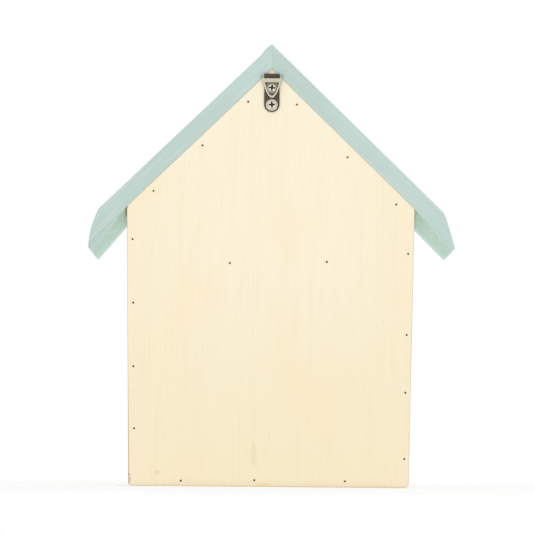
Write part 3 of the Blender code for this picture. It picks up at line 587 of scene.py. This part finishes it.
def strapRings():
    # the sheet's section, a thin rounded box, carried up from a half-round foot and round the pin
    plan = hangerPlan
    half = (strapHigh.x - strapLow.x) / 2
    foot = np.linspace(0.02, 1, 18) * math.pi / 2
    straight = np.linspace(strapLow.z + half, hinge[1], 16)[1:]
    roll = math.pi - np.linspace(0, math.pi + plan["seam"], 44)[1:]
    centreLine = plan["barrel"] - plan["sheet"] / 2
    flat = np.ones(len(foot) + len(straight))
    y = np.r_[flat * (strapLow.y + plan["sheet"] / 2), hinge[0] + centreLine * np.cos(roll)]
    z = np.r_[strapLow.z + half * (1 - np.cos(foot)), straight, hinge[1] + centreLine * np.sin(roll)]
    wide = half * np.r_[np.sin(foot), np.ones(len(z) - len(foot))]
    section = roundedBox(2, plan["sheet"], plan["edge"])
    path = (y, z, np.r_[-flat, np.cos(roll)], np.r_[0 * flat, np.sin(roll)])
    return bentSheet(section[:, 0].clip(-1, 1) * wide[:, None], section[:, 1], path)


def tongue(half, top, end, count=120):
    # round a plate that is straight at its top and closes below in a parabola: x = half * (1 - t),
    # drop = top + (end - top) * (1 - (1 - t) ** 2)
    edge = np.linspace(-1, 1, count // 3, endpoint=False)
    t = np.linspace(0, 2, count - len(edge), endpoint=False)
    drop = np.r_[0 * edge + top, top + (end - top) * (1 - (1 - t) ** 2)]
    return xyz(half * np.r_[edge, 1 - t], -drop)


def eyeRings():
    # a rounded strip carried round the eye, from the edge of its hole to the edge of its plate
    plan = hangerPlan
    half = (eyeHigh.x - eyeLow.x) / 2
    end = hinge[1] - eyeLow.z
    narrow = half * math.sqrt(1 - (plan["holeTop"] - plan["plateTop"]) / (end - plan["plateTop"]))
    outer = tongue(half, plan["plateTop"], end)
    inner = tongue(narrow - plan["sideBand"], plan["holeTop"], plan["holeEnd"])
    band = (outer - inner)[:, None]
    width = np.linalg.norm(band, axis=-1)
    section = roundedBox(0, plan["sheet"], plan["edge"])
    push = section[:, 0] + np.repeat([1, -1, -1, 1], 4) * (width / 2)
    spot = ((outer + inner) / 2)[:, None] + band / width[..., None] * push[..., None]
    return xyz(spot[..., 0], hinge[0] + section[:, 1], hinge[1] + spot[..., 1])


def earRings(side):
    # the strip that climbs from the plate's corner and rolls round the pin's end
    plan = hangerPlan
    inner = strapHigh.x + fit
    outer = inner + 0.75 * (eyeHigh.x - inner)
    centreLine = plan["knuckle"] - plan["sheet"] / 4
    roll = -math.pi / 2 + 0.25 + np.linspace(0, math.tau - 0.5, 40)
    stem = np.linspace(-plan["plateTop"] - 0.5 * mm, -centreLine * 1.04, 6)
    y = hinge[0] + np.r_[0 * stem, centreLine * np.cos(roll)]
    z = hinge[1] + np.r_[stem, centreLine * np.sin(roll)]
    section = roundedBox(outer - inner, plan["sheet"] / 2, plan["edge"])
    path = (y, z, np.r_[0 * stem + 1, np.cos(roll)], np.r_[0 * stem, np.sin(roll)])
    return bentSheet(side * (inner + outer) / 2 + section[:, 0], section[:, 1], path)


screwPlans = {
    # turn of the cross, radius of the flange and of the dome, height of the flange, and the share of grime and
    # painted shade on it
    "hanger_screw_upper": (math.radians(6), 3.75 * mm, 3.0 * mm, 0.45 * mm, 0.30),
    "hanger_screw_lower": (math.radians(-4), 4.65 * mm, 3.45 * mm, 0.60 * mm, 0.22),
}
crossPlan = {"arm": 1.0 * mm, "reach": 2.1 * mm, "heart": 1.0 * mm, "depth": 1.5 * mm, "wall": 0.25 * mm}


def screwRings(name):
    # a head over polar rings: height = flange + dome - cross, where the dome falls as (1 - r ** 3) ** 0.5 and
    # the cross is a recess with sloping walls; below it a shank with a point
    turn, flange, dome, lift, flangeDirtAndShade = screwPlans[name]
    cross = crossPlan
    low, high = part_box(name)
    middle = (low + high) / 2
    seat = strapLow.y + hangerPlan["sheet"] + fit
    angle = circle(96)
    r = np.r_[np.linspace(0.02 * mm, dome, 40), np.linspace(dome, flange, 6)[1:]][:, None]
    rise = (high.y - seat - lift) * (1 - (r / dome) ** 3).clip(0, 1) ** 0.5
    rim = lift * (1 - ((r - dome) / (flange - dome)) ** 6).clip(0.25, 1)
    along, aside = np.abs(r * np.cos(angle)), np.abs(r * np.sin(angle))
    longer, shorter = np.maximum(along, aside), np.minimum(along, aside)
    inArm = ((cross["arm"] / 2 - shorter) / cross["wall"] + 0.5).clip(0, 1)
    inArm = inArm * ((cross["reach"] - longer) / (2 * cross["wall"]) + 0.5).clip(0, 1)
    inCross = np.maximum(inArm, ((cross["heart"] - r) / (2 * cross["wall"]) + 0.5).clip(0, 1))
    height = rim + np.maximum(rise - cross["depth"] * inCross, 0)
    # grime and painted shade: full in the cross recess, a part of it on the flange round the dome
    dirtAndShade = np.maximum(inCross, flangeDirtAndShade * ((r - dome) / (0.3 * mm) + 1).clip(0, 1))
    shank = [(flange * 0.98, seat), (1.5 * mm, seat), (1.5 * mm, low.y + 2.2 * mm), (0.1 * mm, low.y + 0.1 * mm)]
    radius, y = np.array(shank).T[..., None]
    r = np.r_[r, radius]
    x, z = middle.x + r * np.cos(angle + turn), middle.z + r * np.sin(angle + turn)
    return xyz(x, np.r_[seat + height, y + 0 * angle], z), np.r_[dirtAndShade, 0 * y + 0 * angle]


def addHanger():
    steel = metalFinish("pinSteel")
    worn = metalFinish("strapSteel", worn=wornPlan)
    addPiece("hangerStrap", [skin(strapRings())], worn, replacing=["hanger_strap"])
    eye = [skin(eyeRings(), closed=True), skin(earRings(-1)), skin(earRings(1))]
    addPiece("hangerEye", eye, metalFinish("eyeNickel"), body="eye", replacing=["hanger_eye"])
    radius, end = (pinHigh.z - pinLow.z) / 2, pinHigh.x
    half = [(radius, end - 0.25 * mm), (0.7 * radius, end - 0.05 * mm), (0.15 * radius, end)]
    pin = turnedRings([(r, -x) for r, x in half[::-1]] + half, (0, *hinge), "X", 24)
    addPiece("hangerPin", [skin(pin)], steel, replacing=["hanger_pin"])
    bright = metalFinish("screwNickel", dirtAndShade=dirtAndShadePlan)
    for name in screwPlans:
        pieceName = "hangerScrew" + name.rsplit("_", 1)[1].capitalize()
        rings, recess = screwRings(name)
        recess = {"recess": recess.reshape(-1)}
        addPiece(pieceName, [skin(rings)], bright, replacing=[name], attributes=recess, sharp=50)
    print("hanger made")


# Brads that hold the panel on, each in a little crater of raised fibres

bradPlan = {
    "head": 0.80 * mm,
    "lip": 1.30 * mm,
    "rise": 0.14 * mm,
    "foot": -0.02 * mm,
    "fibre": ((250, 238, 208), (240, 222, 184)),
    "places": (
        # along the gable, down the sides, along the foot and on the shelf's line, in millimetres
        (18.6, 300.6), (54.1, 265.6), (92.0, 229.4), (-19.8, 298.7), (-59.8, 257.4), (-98.1, 220.5),
        (107.9, 191.2), (106.6, 141.5), (105.8, 92.0), (104.5, 43.9), (-107.6, 181.8), (-106.6, 118.3),
        (-105.8, 73.3), (-105.1, 22.0), (67.8, 3.8), (11.0, 4.7), (-59.2, 4.5), (31.6, 173.2), (-44.1, 174.8),
    ),
}


def addBrads():
    plan = bradPlan
    head, lip, rise, foot = plan["head"], plan["lip"], plan["rise"], plan["foot"]
    crater = [(head * 0.5, foot), (head, rise * 0.3), (head * 1.2, rise), (lip * 0.9, rise * 0.5), (lip, foot)]
    nail = [(head * 0.02, rise * 0.7), (head * 0.6, rise * 0.65), (head * 0.98, rise * 0.4), (head, foot)]
    spots = np.insert(plan["places"], 1, 0, axis=1)[:, None, None] * mm + (0, backPlane, 0)
    fibre = seamFinish("bradFibre", plan["fibre"])
    addPiece("bradCraters", [skin(turnedRings(crater, (0, 0, 0), "Y", 20) + spots)], fibre)
    addPiece("bradHeads", [skin(turnedRings(nail, (0, 0, 0), "Y", 16) + spots)], metalFinish("bradSteel"))
    print("brads made:", len(plan["places"]))


# Canes: reed cut square by hand, each with a joint along it and a clean bore

canePlan = {
    "wall": 2.0 * mm,
    "columns": 28,
    "stations": 22,
    "rim": 0.22 * mm,
    "joint": 0.018,  # bulge at the joint, of the radius
    "oval": 0.010,
    "tilt": 0.045,  # of the cut, as a slope
    "spread": 6.28,  # radians over which ovals and cuts are turned
}
caneTones = {
    # one colour for each of three reeds
    "skin": ((222, 194, 136), (212, 188, 122), (230, 206, 154)),
    "line": ((198, 164, 104), (186, 156, 90), (208, 176, 120)),
    "band": ((178, 138, 84), (150, 126, 70), (190, 148, 96)),
    "cut": ((232, 208, 160), (224, 200, 148), (238, 218, 176)),
    "pore": ((176, 136, 86), (164, 128, 80), (188, 148, 98)),
    "bore": ((168, 126, 78), (150, 112, 68), (176, 136, 88)),
    "boreLine": ((120, 84, 48), (108, 76, 44), (128, 92, 56)),
}


def caneFinish(index):
    # fine lines along the skin, pores on the cut ends and a darker bore; ringPlace runs round the section
    tones = {part: shades[index] for part, shades in caneTones.items()}
    seed = index * 3.0
    finish = Finish(f"reed{index}", roughness=0.48)
    section = finish.attribute("ringPlace")
    lines = finish.noise((900, 12, 900), detail=4, roughness=0.65, shift=(seed, 0, 0))
    bands = finish.noise((60, 9, 60), detail=2, shift=(0, seed, 0))
    pores = finish.noise((1700, 60, 1700), detail=2, shift=(seed, 0, seed))
    cut = finish.mix(finish.ease(pores, 0.52, 0.68), tones["cut"], tones["pore"])
    bore = finish.mix(finish.ease(lines, 0.40, 0.66), tones["bore"], tones["boreLine"])
    finish.tone = finish.mix(finish.ease(lines, 0.42, 0.70), tones["skin"], tones["line"])
    finish.coat((tones["band"], 0.6), (bands, 0.52, 0.72))
    finish.coat((cut, 1.0), (section, 0.30, 0.36))
    finish.coat((bore, 1.0), (section, 0.62, 0.68))
    gloss = 0.38 + finish.ease(section, 0.30, 0.40) * 0.3 + lines * 0.1
    return finish.coated(gloss, lines * 0.6 + pores * 0.4, 0.12 * mm, 0.6)


def caneShape(low, high, chance):
    # closed in both directions: radius = profile * (1 + oval * cos(2 (angle - turn))), and both cuts lean by
    # tilt * x. The profile runs along the skin, over the rear rim, back through the bore and over the front rim
    plan = canePlan
    radius = 0.985 * min(high.x - low.x, high.z - low.z) / 2
    length, rim, wall = high.y - low.y, plan["rim"], plan["wall"]
    inset = plan["tilt"] * radius + rim
    skinY = np.linspace(inset, length - inset, plan["stations"])
    boreY = np.linspace(length - inset, inset, 4)
    past = skinY - length * (0.3 + 0.5 * chance[0])
    bulge = np.exp(-((past / (3 * mm)) ** 2)) - 0.8 * np.exp(-(((past - 3 * mm) / (1.5 * mm)) ** 2))
    endR = radius * (1 - plan["oval"] - plan["joint"])
    skinR = endR + radius * plan["joint"] * bulge
    lipR = endR - np.array([0.15, 0.5, 0.85]) * wall
    lipY = np.array([0.3, 0.0, 0.3]) * rim
    along = np.r_[skinR, lipR, 0 * boreY + endR - wall, lipR[::-1]][:, None]
    y = np.r_[skinY, length - inset + rim - lipY, boreY, inset - rim + lipY][:, None]
    section = np.repeat([0, 0.5, 1, 0.5], [plan["stations"], 3, 4, 3])
    angle = circle(plan["columns"])
    r = along * (1 + plan["oval"] * np.cos(2 * (angle - plan["spread"] * chance[1])))
    lean = plan["tilt"] * r * np.cos(angle - plan["spread"] * chance[2])
    middle = (low + high) / 2
    rings = xyz(middle.x + r * np.cos(angle), low.y + y + lean, middle.z + r * np.sin(angle))
    return rings, np.repeat(section, plan["columns"])


def addCanes():
    finishes = [caneFinish(index) for index in range(3)]
    names = sorted(name for name in nodes if name.startswith("cane_"))
    chances = xyz(*(scattered(len(names), seed) for seed in (0.1, 0.37, 0.73)))
    for index, name in enumerate(names):
        rings, section = caneShape(*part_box(name), chances[index])
        _, side, number = name.split("_")
        pieceName, finish = "cane" + side.capitalize() + number, finishes[(index * 5 + index // 4) % 3]
        section = {"ringPlace": section}
        addPiece(pieceName, [skin(rings, closed=True)], finish, replacing=[name], attributes=section, sharp=60)
    print("canes made:", len(names))


# Pine cones: woody scales set a golden angle apart round a core

conePlan = {
    "scales": 96,
    "turn": math.radians(137.508),
    "spread": 6.28,  # radians over which the cones are turned
    "rows": 8,
    "columns": 8,
    "core": 0.46,  # of the girth, as is the next
    "halfWidth": 0.30,
    "rise": (0.10, 0.62),  # a scale's lean towards the tip, at the stem and at the tip, of the radius
    "thick": (0.020, 0.062),  # half-thickness at root and lip, of the radius
    "cup": 0.10,  # how far a scale's sides bend up, of the radius
    "stalk": ((0.02, -0.02), (0.09, -0.01), (0.11, 0.03), (0.12, 0.12), (0.10, 0.3)),
}
coneTones = (
    {"root": (70, 44, 28), "face": (128, 86, 54), "lip": (178, 134, 90), "grey": (144, 118, 92)},
    {"root": (76, 50, 34), "face": (140, 98, 64), "lip": (190, 148, 104), "grey": (156, 132, 106)},
)


def coneFinish(index):
    # dark at each scale's root, lighter and worn towards its lip, with weathered grey
    tones, seed = coneTones[index], index * 5.0
    finish = Finish(f"coneWood{index}", roughness=0.72)
    reach = finish.attribute("reach")
    ribs = finish.noise((500, 500, 500), detail=4, roughness=0.6, shift=(seed, 0, 0))
    weather = finish.noise((60, 60, 60), shift=(0, seed, 0))
    finish.tone = finish.mix(finish.ease(reach, 0.20, 0.80), tones["root"], tones["face"])
    finish.coat((tones["lip"], 1.0), (reach + ribs * 0.12, 0.86, 1.02))
    finish.coat((tones["grey"], 0.55), (weather, 0.50, 0.75))
    finish.coat((tones["root"], 0.35), (ribs, 0.55, 0.75))
    return finish.coated(0.62 + ribs * 0.25, ribs, 0.25 * mm, 0.8)


def coneGirth(up):
    # share of the full radius, at a share of the way from stem to tip
    return np.sin(math.pi * up.clip(0, 1) ** 0.75) ** 0.62


def between(pair, share):
    return pair[0] + (pair[1] - pair[0]) * share


def coneShape(length, hand, chance):
    # in radii, about Y, stem at zero. A scale's middle line goes out as core + (1 - core) * s and leans
    # towards the tip as rise * s ** 1.5. Its section is an oval, w * cos(t) across and h * sin(t) deep
    plan = conePlan
    index = np.arange(plan["scales"])[:, None, None]
    up = (index + 0.5) / plan["scales"]
    turn = hand * plan["turn"] * index + plan["spread"] * chance
    girth = coneGirth(0.06 + 0.90 * up)
    rise = between(plan["rise"], up)
    s = np.linspace(0, 1, plan["rows"])[:, None] ** 0.8
    t = (np.arange(plan["columns"]) + 0.5) * math.tau / plan["columns"]
    body = 0.45 + 0.55 * np.sin((s / 0.65).clip(0, 1) * math.pi / 2)
    end = (1 - 0.80 * ((s - 0.65) / 0.35).clip(0, 1) ** 2.4) ** 0.5
    across = plan["halfWidth"] * (0.35 + 0.65 * girth) * body * end * np.cos(t)
    deep = between(plan["thick"], s ** 2) * (0.5 + 0.5 * girth)
    deep = deep * (1 - 0.75 * ((s - 0.8) / 0.2).clip(0, 1) ** 2) ** 0.5
    leanOut, leanUp = girth * (1 - plan["core"]), rise * 1.5 * s ** 0.5
    size = np.sqrt(leanOut ** 2 + leanUp ** 2)
    lift = deep * np.sin(t) * (1 + 0.5 * np.cos(t) ** 2) + plan["cup"] * (across / plan["halfWidth"]) ** 2
    outward = girth * (plan["core"] + (1 - plan["core"]) * s)
    radial = outward - lift * leanUp / size - across ** 2 / (2 * girth + 0.2)
    axial = up * (length - plan["rise"][1] * 0.8) + rise * s ** 1.5 + lift * leanOut / size
    x = radial * np.cos(turn) - across * np.sin(turn)
    z = radial * np.sin(turn) + across * np.cos(turn)
    coreUp = np.linspace(0.01, 0.97, 24)
    profile = xyz(coneGirth(coreUp) * (plan["core"] + 0.06), coreUp * (length - 0.1))
    core = turnedRings(profile, (0, 0, 0), "Y", 20)
    stalk = turnedRings(plan["stalk"], (0, 0, 0), "Y", 12)
    return xyz(x, axial, z), core, stalk, np.broadcast_to(s, x.shape).reshape(-1)


def addCones():
    finishes = [coneFinish(index) for index in range(2)]
    names = sorted(name for name in nodes if name.startswith("pine_cone_"))
    for index, name in enumerate(names):
        low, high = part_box(name)
        middle = (low + high) / 2
        radius, length = min(high.x - low.x, high.z - low.z) / 2, high.y - low.y
        scales, core, stalk, reach = coneShape(length / radius, 1 if index % 3 else -1, index * 0.37)
        grow = 0.99 * radius / np.abs(scales[..., [0, 2]]).max()
        lowest = stalk[..., 1].min()
        stretch = length / (scales[..., 1].max() - lowest)
        blocks = []
        for rings in (scales, core, stalk):
            x, y, z = np.moveaxis(rings, -1, 0)
            along = (y - lowest) * stretch
            y = low.y + along if index % 2 == 0 else high.y - along
            blocks.append(skin(xyz(middle.x + x * grow, y, middle.z + z * grow)))
        reach = {"reach": np.r_[reach, np.full(len(blocks[1][0]), 0.1), np.full(len(blocks[2][0]), 0.75)]}
        finish = finishes[index % 2]
        addPiece(f"pineCone{index + 1}", blocks, finish, replacing=[name], attributes=reach, sharp=70)
    print("cones made:", len(names))


# Nesting blocks: a sawn block with rows of drilled holes, each a round in the middle of a square cell

blockPlan = {
    "pitch": 14.5 * mm,
    "bore": 2.6 * mm,
    "chamfer": 0.35 * mm,
    "depth": 50 * mm,
    "point": 1.4 * mm,
    "cellSteps": 6,  # along each side of a cell
    "edge": 0.9 * mm,
    "rows": 6,
    "inRow": 4,  # and one fewer in every second row
}


def gridLines(low, high, cells):
    # lines round and across the cells, about the middle, and the two borders inside the arrises
    steps, edge = blockPlan["cellSteps"], blockPlan["edge"]
    span = (np.arange(cells * steps + 1) / steps - cells / 2) * blockPlan["pitch"]
    return np.r_[low + edge, span + (low + high) / 2, high - edge]


def border(xs, zs):
    # round the outside of a grid of lines, a point at each line
    x = np.r_[xs[:-1], 0 * zs[:-1] + xs[-1], xs[:0:-1], 0 * zs[:0:-1] + xs[0]]
    return x, np.r_[0 * xs[:-1] + zs[0], zs[:-1], 0 * xs[:0:-1] + zs[-1], zs[:0:-1]]


def blockShape(low, high, xs, zs):
    # the front face is a grid of lines. Where a cell stands, its squares give way to rings that shrink from the
    # cell's border to the hole, go down the bore and close in the drill's point
    plan = blockPlan
    pitch, bore, depth = plan["pitch"], plan["bore"], plan["depth"]
    middle = (low + high) / 2
    row, column = np.indices((plan["rows"], plan["inRow"]))
    kept = column < plan["inRow"] - row % 2
    cellX = (middle.x + (column - (plan["inRow"] - 1) / 2 + row % 2 / 2) * pitch)[kept]
    cellZ = (middle.z + (row - (plan["rows"] - 1) / 2) * pitch)[kept]
    flat = xyz(xs, low.y, zs[:, None]).reshape(-1, 3)
    faces = gridFaces(len(zs), len(xs), wrapColumns=False)
    centre = flat[faces].mean(axis=1)
    far = np.maximum(np.abs(centre[:, :1] - cellX), np.abs(centre[:, 2:] - cellZ)).min(axis=1)
    line = np.linspace(-1, 1, plan["cellSteps"] + 1)
    x, z = border(line, line)
    angle = np.arctan2(z, x)
    radii = np.array([bore + plan["chamfer"], bore, bore, bore, 0.05 * mm])[:, None]
    depths = np.array([0, 0, plan["chamfer"], depth / 2, depth, depth + plan["point"]])[:, None]
    x = cellX[:, None, None] + np.r_[[x * pitch / 2], radii * np.cos(angle)]
    z = cellZ[:, None, None] + np.r_[[z * pitch / 2], radii * np.sin(angle)]
    holes = xyz(x, low.y + depths, z)
    starts = len(flat) + np.arange(len(holes))[:, None, None] * holes[0, ..., 0].size
    cells = tubeFaces(*holes.shape[1:3], near=False) + starts
    points = np.concatenate((flat, holes.reshape(-1, 3)))
    return points, np.concatenate((faces[far > pitch / 2], cells.reshape(-1, 4)))


def blockSkin(low, high, xs, zs):
    # the sides and the back: the front's border goes round an arris and straight back
    edge = blockPlan["edge"]
    x, z = border(xs, zs)
    outX = 1.0 * (x == xs[-1]) - (x == xs[0])
    outZ = 1.0 * (z == zs[-1]) - (z == zs[0])
    bend = np.linspace(0, math.pi / 2, 5)
    grow = edge * np.r_[np.sin(bend), 1.0, 0.7][:, None]
    y = np.r_[low.y + edge * (1 - np.cos(bend)), high.y - 0.3 * edge, high.y][:, None]
    rings = xyz(x + grow * outX, y, z + grow * outZ)
    return rings.reshape(-1, 3), tubeFaces(*rings.shape[:2], near=False)


def addBlocks():
    for name, side in sides.items():
        low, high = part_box("nesting_block_" + name)
        lines = gridLines(low.x, high.x, blockPlan["inRow"]), gridLines(low.z, high.z, blockPlan["rows"])
        pith = (side * 0.03, 0.02 + 0.09 * (side > 0))
        finish = woodFinish("blockWood_" + name, 1, pith, blockTones, ring=3.1)
        pieces = [blockShape(low, high, *lines), blockSkin(low, high, *lines)]
        addPiece("nestingBlock" + name.capitalize(), pieces, finish, replacing=["nesting_block_" + name])
    print("nesting blocks made")


# Wire net: zigzag wires twisted in pairs on the upright sides of six-sided cells, round a border wire

netLow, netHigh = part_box("wire_net")
netMiddle = (netLow.y + netHigh.y) / 2
netPlan = {
    "cell": 18.5 * mm,
    "wire": 0.19 * mm,
    "border": 0.26 * mm,
    "twists": 1.5,
    "inset": 0.5 * mm,  # of the border wire from the net's edge
    "staples": 5,  # along each straight
    "staple": 0.3 * mm,
    "crown": 5.0 * mm,
    "leg": 3.0 * mm,
    "bend": 0.8 * mm,
    "lean": math.radians(68),  # of a staple, from the border wire
}


def netBorder():
    # the five corners of the gable, inset
    inset = netPlan["inset"]
    half = netHigh.x - inset
    apex = netHigh.z - inset / math.cos(slope)
    eave, foot = apex - half * math.tan(slope), netLow.z + inset
    return np.array([(-half, foot), (half, foot), (half, eave), (0, apex), (-half, eave)])


def outline(corners):
    # the direction, the length and the way inwards of each side of a closed outline
    onward = np.roll(corners, -1, axis=0) - corners
    length = np.linalg.norm(onward, axis=1, keepdims=True)
    onward = onward / length
    return onward, length, xyz(-onward[:, 1], onward[:, 0])


def netWire(line, lean, rows, bottom):
    # one wire from the foot up: in row k it stands at x = cell * (line + half a cell where k is odd, on the
    # side that it leans to), twists round its neighbour as cos and sin, and slants to the next row
    plan = netPlan
    side = plan["cell"] / math.sqrt(3)
    share = np.linspace(0, 1, 11)
    row = np.arange(rows)[:, None]
    turn = math.tau * plan["twists"] * share + (0 if lean > 0 else math.pi)
    twist = plan["wire"] * np.cos(turn) * lean * np.where(row % 2, -1, 1)
    z = bottom + row * 1.5 * side + (share - 0.5) * side
    x = plan["cell"] * (line + 0.5 * lean * (row % 2)) + twist
    return xyz(x, netMiddle + plan["wire"] * np.sin(turn), z).reshape(-1, 3)


def wrapBlock(points, corners):
    # winds each wire's end round the border wire at its nearest place, as two turns of a helix
    plan = netPlan
    onward, length, inward = outline(corners)
    along = ((points[:, None] - corners) * onward).sum(axis=-1).clip(0, length[:, 0])
    spots = corners + along[..., None] * onward
    best = np.linalg.norm(points[:, None] - spots, axis=-1).argmin(axis=1)
    spots, onward, inward = spots[np.arange(len(points)), best], onward[best], inward[best]
    share = np.linspace(0, 1, 25)[:, None]
    turn = share * 4 * math.pi
    thin = 0.4 * plan["wire"]
    radius = plan["border"] + thin
    flat = spots[:, None] + onward[:, None] * ((share - 0.5) * 8 * plan["wire"])
    flat = flat + inward[:, None] * (radius * np.cos(turn))
    paths = xyz(flat[..., 0], netMiddle + radius * np.sin(turn[:, 0]), flat[..., 1])
    return sweepAll(paths, roundSection(thin, 6), xyz(onward[:, 0], 0, onward[:, 1]))


def stapleBlock(corners):
    # a crown across the border wire with a rounded bend and a leg into the wood at each end
    plan = netPlan
    onward, length, _ = outline(corners)
    share = (np.arange(plan["staples"])[:, None] + 0.5) / plan["staples"]
    spots = (corners[:, None] + share * (onward * length)[:, None]).reshape(-1, 2)
    onwardX, onwardZ = np.repeat(onward, plan["staples"], axis=0).T
    skew = plan["lean"] + (scattered(len(spots)) - 0.5) * 0.5
    wayX = onwardX * np.cos(skew) - onwardZ * np.sin(skew)
    wayZ = onwardX * np.sin(skew) + onwardZ * np.cos(skew)
    bend, half, radius = np.linspace(0, math.pi / 2, 5), plan["crown"] / 2, plan["bend"]
    across = np.r_[half, half - radius + radius * np.cos(bend)]
    deep = np.r_[plan["leg"], radius - radius * np.sin(bend)]
    across, deep = np.r_[across, -across[::-1]], np.r_[deep, deep[::-1]]
    x, z = spots[:, :1] + wayX[:, None] * across, spots[:, 1:] + wayZ[:, None] * across
    paths = xyz(x, netLow.y - 0.25 * mm + deep, z)
    return sweepAll(paths, roundSection(plan["staple"], 8), xyz(wayZ, 0, -wayX))


def addNet():
    plan = netPlan
    corners = netBorder()
    _, _, inward = outline(corners)
    bottom = corners[0, 1]
    rows = int((corners[3, 1] - bottom) / (1.5 * plan["cell"] / math.sqrt(3))) + 2
    reach = int(corners[1, 0] / plan["cell"]) + 1
    zinc = metalFinish("zincWire")
    facing = np.array([0, 1, 0])
    blocks = []
    ends = []
    for line in np.arange(-reach, reach) + 0.5:
        for lean in (-1, 1):
            path = netWire(line, lean, rows, bottom)
            depths = ((path[:, None, ::2] - corners) * inward).sum(axis=-1)
            inside = (depths.min(axis=-1) > 0).astype(int)
            edges = np.flatnonzero(np.diff(np.r_[0, inside, 0]))
            for start, stop in zip(edges[::2], edges[1::2]):
                if stop - start > 3:
                    blocks.append(skin(sweep(path[start:stop], roundSection(plan["wire"], 6), facing)))
                    ends += [path[start, ::2], path[stop - 1, ::2]]
    share = np.linspace(0, 1, 40, endpoint=False)[:, None]
    loop = (corners[:, None] + share * (np.roll(corners, -1, axis=0) - corners)[:, None]).reshape(-1, 2)
    rim = np.insert(loop, 1, netMiddle, axis=1)
    closed = sweep(np.concatenate((rim[-1:], rim, rim[:1])), roundSection(plan["border"], 8), facing)[1:-1]
    blocks += [skin(closed, closed=True), wrapBlock(np.array(ends), corners)]
    addPiece("wireNet", blocks, zinc, replacing=["wire_net"])
    addPiece("netStaples", [stapleBlock(corners)], zinc)
    print("net made: wires", len(blocks) - 2)


dressBoards()
addSeams()
addHanger()
addBrads()
addCanes()
addCones()
addBlocks()
addNet()


# Camera, lamps and stage

cameraPlan = {
    "aim": (0.0022, backPlane, 0.1700),  # the point that the lens axis meets
    "stand": (0.0147, backPlane + 1.6799, 0.0204),
    "roll": math.radians(0.52),  # the picture leans to the right
    "lens": 145.4,
}
lightPlan = {
    "sky": 0.905,
    "aim": (0, 0, 0.17),
    "lamps": {
        # place, size, watts; the table lamps shine up through the floor, as a lit table does
        "keyLamp": ((0.8, 2.2, 0.5), 1.6, 1.6),
        "lowLampLeft": ((-1.3, 1.5, -0.75), 0.8, 3.4),
        "lowLampRight": ((1.3, 1.5, -0.75), 0.8, 3.4),
        "tableLampLeft": ((-0.25, -0.08, -1.4), 0.3, 10.5),
        "tableLampRight": ((0.25, -0.08, -1.4), 0.3, 13.5),
        "frontLamp": ((-0.8, -1.9, 1.2), 1.5, 5.0),
    },
}
stagePlan = {
    "radius": 0.60,
    "rings": 12,
    "columns": 48,
    "drop": 0.4 * mm,
    "fade": (0.56, 0.22),  # clear from the first radius on, full cover within the second
    "cover": 0.38,
    "foot": (0.109, 0.046),  # half the house's width and depth, covered more
    "underFoot": 0.45,
    "shade": (254, 254, 254),
}


def pointAt(item, place, target, roll=0.0):
    item.location = place
    ahead = (Vector(target) - item.location).to_track_quat("-Z", "Y")
    item.rotation_euler = (ahead @ Quaternion((0, 0, 1), roll)).to_euler()


def addCamera():
    plan = cameraPlan
    data = bpy.data.cameras.new("rearCamera")
    data.lens = plan["lens"]
    data.sensor_width = 36
    data.clip_start = 0.05
    data.clip_end = 20
    camera = newObject("rearCamera", data)
    pointAt(camera, plan["stand"], plan["aim"], plan["roll"])
    bpy.context.scene.camera = camera


def addLamps():
    for name, (place, size, watts) in lightPlan["lamps"].items():
        data = bpy.data.lights.new(name, "AREA")
        data.shape = "DISK"
        data.size = size
        data.energy = watts
        pointAt(newObject(name, data), place, lightPlan["aim"])


def addStage():
    # a white floor that fades out into the white surround, so that no line shows where it ends
    plan = stagePlan
    rings, columns = plan["rings"], plan["columns"]
    radius = np.linspace(0.01, plan["radius"], rings)[:, None]
    points = xyz(radius * np.cos(circle(columns)), radius * np.sin(circle(columns)), -plan["drop"])
    mesh = bpy.data.meshes.new("studioFloor")
    mesh.from_pydata(points.reshape(-1, 3), [], tubeFaces(rings, columns, far=False)[:, ::-1])
    floor = newObject("studioFloor", mesh)
    finish = Finish("floorPaint", roughness=0.9)
    x, y, _ = finish.axes()
    cover = finish.ease((x ** 2 + y ** 2) ** 0.5, *plan["fade"]) * plan["cover"]
    footprint = ((x / plan["foot"][0]) ** 8 + (y / plan["foot"][1]) ** 8) ** 0.125
    cover = cover + finish.ease(footprint, 1.14, 1.04) * plan["underFoot"]
    cover = cover * (1 - finish.node("ShaderNodeNewGeometry", output="Backfacing"))  # clear from underneath
    mesh.materials.append(finish.surface(Base_Color=linearLight(plan["shade"]), Alpha=cover))


def addSky():
    # white to the camera and in mirrors, and a little dimmer as a light
    world = bpy.data.worlds.new("studio")
    bpy.context.scene.world = world
    world.use_nodes = True
    graph = Graph(world.node_tree)
    paths = graph.node("ShaderNodeLightPath").socket.node.outputs
    seen = Field(graph, paths["Is Camera Ray"]) + Field(graph, paths["Is Glossy Ray"])
    seen = (seen + Field(graph, paths["Is Transmission Ray"])).maths("MINIMUM", 1.0)
    background = graph.tree.nodes["Background"]
    graph.join(background.inputs["Color"], (1, 1, 1, 1))
    graph.join(background.inputs["Strength"], lightPlan["sky"] + seen * (1 - lightPlan["sky"]))


addCamera()
addLamps()
addStage()
addSky()
bpy.context.scene.view_settings.view_transform = "Standard"
print("stage set")
